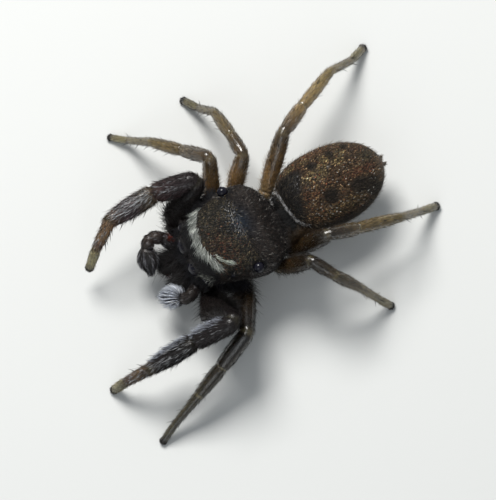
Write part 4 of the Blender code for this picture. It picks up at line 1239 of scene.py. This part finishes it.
# Long hairs from hip to femur: start, end, how many, length, width and the side they grow on
SKIRTS = {
    ("left", 1): (.55, 1.75, 2600, .42, .014, (.5, .8, 0)),
    ("right", 1): (.55, 1.75, 1500, .30, .014, None),
    ("left", 2): (.55, 1.5, 2000, .36, .014, (-.2, -1, 0)),
    ("left", 4): (.55, 1.5, 2000, .36, .014, (-1, .3, 0)),
}
THIN_SKIRT = (.9, 1.7, 500, .17, .012, None)
for order, (side, number) in enumerate(limbs):
    limb, skin = limbs[side, number], leg_skins[side, number]
    fore = number == 1
    kind = "fore" if fore else "rear"
    rng = np.random.default_rng(100 + order)
    coat = Coat()
    roots = Roots(skin, 8200 if fore else 2900, rng, lambda place, normal, unwrap: 0.25 + 0.75 * smooth_step(
        station_of(limb, unwrap), 0.9, 1.3) + 0.5 * smooth_step(station_of(limb, unwrap), 5, 5.2))
    station, turn = station_of(limb, roots.unwrap), roots.unwrap[:, 0] * 360
    length = np.interp(station, *zip(*HAIR_LENGTH[kind])) * uneven(rng, roots.count, .22)
    toe = smooth_step(station, 5.05, 5.25)
    if fore:
        pale = rng.random(roots.count) < foreleg_pale(side, station, turn)
        colour = mix(DARK_HAIR * .7, roots.marking * 1.3, rng.random(roots.count) * .8)
        colour = mix(colour, PALE_HAIR, pale * 1.0)
        colour = mix(colour, TOE_HAIR, toe * .8)
        width = np.where(pale, .020, .013)
    else:
        # The amber and pale hairs of a leg carry its painted light and shade too.
        colour = mix(AMBER_HAIR * leg_tone_and_painted_light(side, number, station)[:, None], roots.marking * 1.4,
                     rng.random(roots.count))
        colour = mix(colour, TOE_HAIR, toe * .3)
        colour = mix(colour, DARK_HAIR, (rng.random(roots.count) < .35) * .7)
        colour = mix(colour, PALE_HAIR * min(1, 1.6 * leg_tone_and_painted_light(side, number, 3.0)),
                     (rng.random(roots.count) < .05) * .6)
        width = .011
    colour = mix(colour, DARK_HAIR, smooth_step(station, 5.86, 5.97) * .85)
    colour = colour * uneven(rng, roots.count, .3)[:, None]
    roots.swing(rng.normal(0, .22, roots.count))
    upright = rng.random(roots.count) < .12
    lift = np.where(upright, rng.uniform(.7, 1.1, roots.count), rng.uniform(.2, .5, roots.count))
    coat.hairs(roots, colour, length, width, lift)
    if fore and side == "left":
        edge = Roots(skin, 400, rng, lambda place, normal, unwrap: (
            smooth_step(normal @ INNER_EDGE, .66, .90) * smooth_step(station_of(limb, unwrap), 2.05, 2.2)
            * smooth_step(station_of(limb, unwrap), 4.0, 3.8)))
        edge.swing(rng.normal(0, .3, edge.count))
        reach = np.interp(station_of(limb, edge.unwrap), (2, 2.4, 3, 3.8, 4.1), (.15, .20, .23, .22, .12))
        coat.hairs(edge, FRINGE_HAIR * .85 * uneven(rng, edge.count, .4)[:, None],
                   reach * uneven(rng, edge.count, .2), .012, rng.uniform(.5, 1.0, edge.count), joints=3)
    start, end, many, reach, width, toward = SKIRTS.get((side, number), THIN_SKIRT)
    skirt = Roots(skin, many, rng, lambda place, normal, unwrap: (
        smooth_step(station_of(limb, unwrap), start, start + .1)
        * smooth_step(station_of(limb, unwrap), end, end - .2)
        * (1 if toward is None else .04 + smooth_step(normal @ np.array(toward), 0, .5))))
    skirt.swing(rng.normal(0, .5, skirt.count))
    coat.hairs(skirt, skirt.marking * .8 * uneven(rng, skirt.count, .4)[:, None] + .003,
               reach * uneven(rng, skirt.count, .25), width, rng.uniform(.5, 1.2, skirt.count), .4, joints=3)
    spines = bristle_roots(limb, FORE_SPINES if fore else REAR_SPINES)
    reach, width = (.36, .042) if fore else (.25, .026)
    coat.hairs(spines, np.array((.007, .006, .006)), reach, width, .85, .45, sides=5, joints=3)
    tuft = Roots(skin, 260, rng,
                 lambda place, normal, unwrap: smooth_step(station_of(limb, unwrap), 5.93, 5.98))
    tuft.lean(np.array(limb.heading[-1]) + np.array((0, 0, -.5)))
    coat.hairs(tuft, np.array((.030, .027, .024)) * uneven(rng, tuft.count, .4)[:, None],
               rng.uniform(.07, .12, tuft.count), .014, rng.uniform(.1, .8, tuft.count))
    slot = "foreleg" if fore else "leg"
    coat.piece(f"coat_leg_{number}_{side}", hair_finish, slot)
    claws = Coat()
    nails = bristle_roots(limb, [(5.95, 215), (5.95, 325)])
    nails.lean(np.array(limb.heading[-1]) + np.array((0, 0, .25)))
    claws.hairs(nails, np.array((.012, .009, .008)), .13, .030, .75, 1.9, sides=8, joints=6, tip=.1)
    claws.piece(f"claws_leg_{number}_{side}", claw_horn, slot)


# ---- Coat of the carapace ----------------------------------------------------------------------
# Small flat scales cover the brow, bronze and rusty among black ones, and thin out on the bare
# middle, which is black with a painted blue reflection. Pale hairs edge the rim behind, ring the rear
# eyes and fall over the front ones.
# Long dark ones stand on the right flank, the left margin, the nape and over the jaws.
def carapace_density(place, normal, unwrap):
    """Scales mostly on the brow, fewer on the sides and the bare middle, none under the lenses."""
    at = local(place)
    amount = 0.25 + 0.85 * smooth_step(at[:, 2], 2.2, 2.6) * smooth_step(at[:, 1], .35, .05)
    amount = amount * (1 - 0.93 * blob(at, -.16, .09, .56, .36) * smooth_step(at[:, 2], 2.3, 2.6))
    for _, _, centre, radius, _ in eyes:
        amount = amount * (np.linalg.norm(place - centre, axis=1) > radius * 1.12)
    return amount * smooth_step(at[:, 2], 1.35, 1.55)


scale_finish = coat_finish("carapace_scale", 0.44, metallic=0.35, gloss=0.3)
pale_finish = coat_finish("pale_hair", 0.50, gloss=0.3)
rng = np.random.default_rng(31)
coat = Coat()
roots = Roots(carapace, 15000, rng, carapace_density)
at = local(roots.place)
brow = smooth_step(at[:, 2], 2.25, 2.55) * smooth_step(at[:, 1], .3, 0) * (1 - before_fringe(at))
kinds = rng.random(roots.count)
colour = roots.marking * 1.3
colour = mix(colour, np.array((.105, .082, .048)), brow * (kinds < .15))
rusty = .15 + .16 * blob(at, .40, -.70, .7, .45)
colour = mix(colour, np.array((.095, .036, .022)), brow * ((kinds > .15) & (kinds < rusty)))
colour = mix(colour, np.array((.006, .006, .007)), (kinds > .45) * .85)
roots.swing(rng.normal(0, .35, roots.count))
coat.scales(roots, colour * uneven(rng, roots.count, .45)[:, None], .075 * uneven(rng, roots.count, .2),
            .034, rng.uniform(.05, .4, roots.count))
coat.piece("coat_carapace_scales", scale_finish, "carapace")


def off_line(at, line):
    """Distance in plan from a line of points, and the share of the line's length there."""
    best, share = np.full(len(at), 9.0), np.zeros(len(at))
    line = np.array(line)
    for k, (start, end) in enumerate(zip(line[:-1], line[1:])):
        run = end - start
        t = (((at[:, :2] - start) @ run) / (run @ run)).clip(0, 1)
        gap = np.linalg.norm(at[:, :2] - start - t[:, None] * run, axis=1)
        share = np.where(gap < best, (k + t) / (len(line) - 1), share)
        best = np.minimum(best, gap)
    return best, share


def pale_edge_density(place, normal, unwrap):
    """The rear rim, the margins, and the rings round the rear eyes."""
    at = local(place)
    amount = 0.15 * smooth_step(at[:, 2], 1.4, 1.7)
    amount = amount + 0.6 * smooth_step(at[:, 1], .7, .95) * np.exp(-((at[:, 2] - 1.92) / .12) ** 2)
    amount = amount + 0.7 * np.exp(-((at[:, 2] - 1.62) / .08) ** 2)
    amount = amount + 0.45 * blob(at, .62, .38, .40, .36) * smooth_step(at[:, 2], 2.1, 2.4)
    for name, _, centre, radius, _ in eyes:
        gap = np.linalg.norm(place - centre, axis=1) / MM - radius / MM
        if name == "rear_side":
            amount = amount + 0.9 * smooth_step(gap, .20, .08) * (at[:, 1] < .05)
        if "front" in name:
            amount = amount + 1.5 * smooth_step(gap, .16, .05)
        amount = amount * (gap > .02)
    return amount


coat = Coat()
roots = Roots(carapace, 3000, rng, pale_edge_density)
at = local(roots.place)
front = np.maximum(smooth_step(at[:, 1], -1.1, -1.35), before_fringe(at))
colour = mix(np.array((.040, .034, .031)), np.array((.25, .24, .22)), rng.random(roots.count) < .30)
colour = mix(colour, np.array((.016, .013, .012)), front * .95)
for name, side, centre, radius, _ in eyes:
    if (name, side) == ("front_side", "left"):
        gap = np.linalg.norm(roots.place - centre, axis=1) / MM - radius / MM
        over = smooth_step(gap, .17, .10) * smooth_step(roots.normal[:, 2], .1, .5)
        colour = mix(colour, np.array((.24, .25, .22)), over * (rng.random(roots.count) < .6))
roots.swing(rng.normal(0, .4, roots.count))
coat.hairs(roots, colour * uneven(rng, roots.count, .3)[:, None], .12 * uneven(rng, roots.count, .25), .014,
           rng.uniform(.25, .8, roots.count))
fringe = Roots(carapace, 2200, rng, lambda place, normal, unwrap: smooth_step(
    off_line(local(place), FRINGE_LINE)[0], .115, .03) * (local(place)[:, 2] > 2.1))
gap, share = off_line(local(fringe.place), FRINGE_LINE)
wave = .24 * np.sin(share * 29) + .20 * np.sin(share * 71 + 1)
lock = ((0.74 + 0.17 * np.sin(share * 57 + 2) + 0.13 * np.sin(share * 139))
        * np.interp(share, (0, .2, .4, 1), (.8, .8, 1.12, 1.05)))
streak = (0.5 + 0.5 * np.sin(gap * 110 + 2.5 * np.sin(share * 23) + share * 40)) ** 1.5
fringe.lean(np.stack([1 + 0 * wave, np.interp(share, (0, .45, .65, 1), (-1.1, -.70, -.15, .25)),
                      -.25 + 0 * wave], axis=1))
fringe.swing(wave + rng.normal(0, .17, fringe.count))
at = local(fringe.place)
parting = smooth_step(
    np.sin(at[:, 0] * 21 + at[:, 1] * 9) * np.sin(at[:, 1] * 17 - at[:, 0] * 6 + 1), .05, .5)
tone = mix(np.array((.030, .042, .034)), np.array((.97, 1.0, .93)),
           (rng.random(fringe.count) * .34 + streak * .98) * lock * (1 - .7 * parting))
coat.hairs(fringe, tone, lock * np.interp(share, (0, .25, .6, 1), (.31, .30, .26, .23)) * uneven(
    rng, fringe.count, .25), .016, rng.uniform(.15, .65, fringe.count), .8, joints=3)
coat.grow(carapace, 150, rng, .25, (.55, .60, .52), .5, .16, .25, .014, (.15, .5), .8, (.55, .80, -.3),
          lambda place, normal, unwrap: smooth_step(off_line(local(place), FRINGE_BRANCH)[0], .035, .008)
          * (local(place)[:, 2] > 2.2))


def region(*steps):
    """A density over the carapace, as a product of smooth steps: the axis, the start and the end of each."""
    def density(place, normal, unwrap):
        at = local(place)
        return math.prod(smooth_step(at[:, axis], start, end) for axis, start, end in steps)
    return density


# Long dark hairs on the right flank, the left margin and the nape
coat.grow(carapace, 900, rng, .5, RIM_BLACK * 2.2, .4, .34, .25, .017, (.6, 1.3), .4, (-1.0, -.2, .1),
          region((0, -1.05, -1.2), (1, -1.3, -1.0), (1, -.1, -.4), (2, 2.5, 2.2)))
coat.grow(carapace, 800, rng, .45, RIM_BLACK * 2.6, .4, .42, .25, .018, (.7, 1.4), .4, (1.0, -.1, -.3),
          region((0, .75, .95), (1, -1.35, -1.15), (1, -.35, -.6), (2, 1.9, 1.7)))
coat.grow(carapace, 700, rng, .4, (.020, .017, .016), .5, .32, .25, .016, (.4, 1.1), .4, (.2, 1.0, -.1),
          region((1, .85, 1.05), (0, -.3, 0), (2, 2.0, 1.85)))
# A beard over the jaws
coat.grow(carapace, 1500, rng, .35, RIM_BLACK * 2.2, .4, .34, .25, .018, (.5, 1.2), .5, (0, -.5, -1.0),
          lambda place, normal, unwrap: (
              smooth_step(local(place)[:, 1], -1.38, -1.55) * smooth_step(local(place)[:, 2], 2.15, 1.9)
              * (abs(local(place)[:, 0]) < 1.0)))
coat.piece("coat_carapace_hairs", pale_finish, "carapace")


# ---- Coat of the abdomen -----------------------------------------------------------------------
# Overlapping scales, copper and gold with a metal shine, lie towards the spinnerets, with short
# bristles among them. A thin clumpy band of pale hairs runs round the front edge, and long black ones
# cover the front face below it.
def abdomen_density(place, normal, unwrap):
    """Scales all over the back, thinner below and on the black front."""
    along, left, up = abdomen_place(place)
    bare = smooth_step(along, .20 - .15 * left, .10 - .15 * left) * (up > 0)
    return (0.35 + 0.65 * smooth_step(up, -.6, -.1)) * (1 - .5 * bare)


abdomen_scale = coat_finish("abdomen_scale", 0.38, metallic=0.4, gloss=0.35)
rng = np.random.default_rng(47)
coat = Coat()
roots = Roots(abdomen, 24400, rng, abdomen_density)
along, left, up = abdomen_place(roots.place)
colour = abdomen_marking(roots.place)
shining = smooth_step(colour.max(1), .03, .09) * smooth_step(up, -.3, .2)
kinds = rng.random(roots.count)
golden = smooth_step(colour[:, 1] / colour[:, 0].clip(.01), .60, .72) * smooth_step(colour.max(1), .09, .15)
plain = smooth_step(colour[:, 1] / colour[:, 0].clip(.01), .70, .80) * smooth_step(colour.max(1), .12, .09)
fleck = mix(np.array((.36, .235, .12)), np.array((.46, .34, .155)), golden)
colour = mix(colour * .9, fleck, shining * (kinds < (.09 + .06 * golden) * (1 - .75 * plain)))
colour = mix(colour, np.array((.28, .095, .045)),
             shining * ((kinds > .17) & (kinds < .205)) * (.8 - .6 * plain))
colour = mix(colour, np.array((.010, .008, .007)), (kinds > .47) * .93)
white = np.exp(-((left - .88) / .16) ** 2) * smooth_step(along, .17, .25) * (up > .3)
white = .05 * white + .008 * shining + .05 * np.exp(-((along - .80) / .04) ** 2 - ((left - .48) / .12) ** 2)
colour = mix(colour, np.array((.60, .60, .55)), (rng.random(roots.count) < white) * .9)
roots.swing(rng.normal(0, .35, roots.count))
coat.scales(roots, colour * uneven(rng, roots.count, .45)[:, None], .080 * uneven(rng, roots.count, .18),
            .034, rng.uniform(.08, .5, roots.count))
coat.piece("coat_abdomen_scales", abdomen_scale, "abdomen")


def band_height(left):
    """How far above the axis the pale band runs round the front of the abdomen."""
    return np.interp(left, (-.60, -.40, -.20, 0, .20, .60, .80), (.06, .22, .31, .33, .33, .30, .31))


def basal_band_density(place, normal, unwrap):
    """A thin clumpy band round the front edge, on the back and both sides."""
    along, left, up = abdomen_place(place)
    clumps = 0.25 + 0.75 * (0.5 + 0.5 * np.sin(left * 31 + 2 * np.sin(left * 9))) ** 1.5
    return (np.exp(-((up - band_height(left)) / .032) ** 2) * clumps * smooth_step(along, .125, .095)
            * smooth_step(left, -.68, -.55))


coat = Coat()
roots = Roots(abdomen, 5200, rng)
along, left, up = abdomen_place(roots.place)
colour = mix(abdomen_marking(roots.place) * .9, np.array((.16, .13, .09)), rng.random(roots.count))
roots.swing(rng.normal(0, .3, roots.count))
coat.hairs(roots, colour * uneven(rng, roots.count, .3)[:, None], .145 * uneven(rng, roots.count, .25),
           .012, rng.uniform(.35, 1.2, roots.count))
coat.grow(abdomen, 620, rng, .7, (.31, .31, .31), .6, .10, .25, .013, (.2, .7), way=abdomen_across,
          density=basal_band_density)


def front_density(place, normal, unwrap):
    """The front face below the band, mostly on the left."""
    along, left, up = abdomen_place(place)
    return (smooth_step(along, .09, .04) * smooth_step(up - band_height(left), -.06, -.14)
            * (.3 + smooth_step(left, -.1, .3)))


def flank_density(place, normal, unwrap):
    """The left flank, in front."""
    along, left, up = abdomen_place(place)
    return smooth_step(along, .34, .22) * smooth_step(left, .25, .5) * smooth_step(up, .15, -.1)


coat.grow(abdomen, 2200, rng, .5, ABDOMEN_BLACK * 2, .4, .34, .2, .016, (.7, 1.2), .4, (0, -1.0, -.2),
          front_density)
coat.grow(abdomen, 1500, rng, .5, ABDOMEN_BLACK * 2, .4, .36, .2, .016, (.7, 1.3), .4, (.7, -.5, -.6),
          flank_density)
coat.piece("coat_abdomen_hairs", pale_finish, "abdomen")


# ---- Coat of the palps, jaws and underside -----------------------------------------------------
# The palps carry pale hairs above, which open into a round white tuft on the left one and lie in
# grey stripes on the right one. Jaws, breastplate and spinnerets carry plain fine hairs.
PAD_HAIR, EMBER_HAIR, LOCK_WIDTH = np.array((.24, .24, .26)), np.array((.34, .055, .030)), math.radians(9)
TUFT_HINGE = np.array((.06, .08, 0))
for order, (side, palp) in enumerate(palps.items()):
    rng = np.random.default_rng(61 + order)
    wrist = PALP_SHAPES[side][3]
    coat = Coat()
    roots = Roots(palp_skins[side], 2600, rng)
    station = station_of(palp, roots.unwrap)
    turn = roots.unwrap[:, 0] * 360
    pad = smooth_step(station, wrist - .05, wrist + .1)
    striped = pad * smooth_step(np.sin(np.radians(turn) * 8), .1, .6)
    spotted = smooth_step(np.sin(station * 9) * np.sin(np.radians(turn) * 3 + station * 5), .35, .6)
    spotted = spotted * (1 - pad)
    pale = rng.random(roots.count) < .03 + .75 * striped + (.4 * spotted if side == "right" else 0)
    colour = mix(DARK_HAIR * .6, roots.marking * 1.3, rng.random(roots.count) * .7)
    colour = mix(colour, PAD_HAIR, pale * 1.0)
    if side == "right":
        ember = np.exp(-((station - .45) / .26) ** 2) * (rng.random(roots.count) < .60) * (
            roots.normal @ np.array((-.70, .40, .45)) > .25)
        colour = mix(colour, EMBER_HAIR, ember)
    roots.swing(rng.normal(0, .15, roots.count))
    coat.hairs(roots, colour * uneven(rng, roots.count, .3)[:, None], (.10 + .07 * pad) * uneven(
        rng, roots.count, .2), .014, rng.uniform(.2, .5, roots.count))
    if side == "left":
        tuft = Roots(palp_skins[side], 1700, rng, lambda place, normal, unwrap: smooth_step(
            station_of(palp, unwrap), wrist + .02, wrist + .12) * smooth_step(normal[:, 2], -.3, .1))
        heart = np.array(spot(*(LEFT_WRIST + TUFT_HINGE)))
        bearing = np.arctan2(*(tuft.place - heart).T[1::-1])
        lock = np.round(bearing / LOCK_WIDTH) * LOCK_WIDTH
        off = (bearing - lock) / LOCK_WIDTH
        kept = abs(off) < .30 + .12 * np.sin(lock * 37)
        tuft, lock, off = tuft.pick(kept), lock[kept], off[kept]
        tuft.lean(np.stack([np.cos(lock - off * .2), np.sin(lock - off * .2), -.1 + 0 * lock], axis=1))
        tuft.swing(rng.normal(0, .06, tuft.count))
        # The lower hairs of the white tuft are darker: painted shade.
        lower = smooth_step(tuft.place[:, 2] / MM, 1.15, .95)[:, None]
        tone = np.array((.47, .50, .56)) * (1 - .6 * lower)
        coat.hairs(tuft, tone * uneven(rng, tuft.count, .42)[:, None], rng.uniform(.24, .37, tuft.count),
                   .013, rng.uniform(.25, .95, tuft.count), .7, joints=3)
    coat.piece(f"coat_palp_{side}", pale_finish, "palp_tuft")


rng = np.random.default_rng(71)
for side in SIDES:
    coat = Coat()
    coat.grow(jaws[side], 1600, rng, .4, (.012, .010, .010), .5, .24, .3, .016, (.5, 1.2))
    outward = np.array((.75 * SIDES[side], -.6, .2))
    reach = .40 if side == "right" else .28
    coat.grow(jaws[side], 700, rng, .4, (.010, .009, .009), .5, reach, .25, .016, (.6, 1.3), .4, outward,
              lambda place, normal, unwrap: smooth_step(normal @ outward, .35, .7))
    coat.piece(f"coat_chelicera_{side}", hair_finish, "chelicera")
coat = Coat()
coat.grow(sternum, 700, rng, .4, (.16, .14, .12), .4, .10, .3, .011, (.3, .8), joints=2,
          density=lambda place, normal, unwrap: smooth_step(-normal[:, 2], 0, .4))
coat.piece("coat_sternum", hair_finish, "underside")
coat = Coat()
coat.grow(spinnerets, 500, rng, .3, (.14, .11, .08), .4, .08, .3, .010, (.3, .8), joints=2)
coat.piece("coat_spinnerets", hair_finish, "leg")
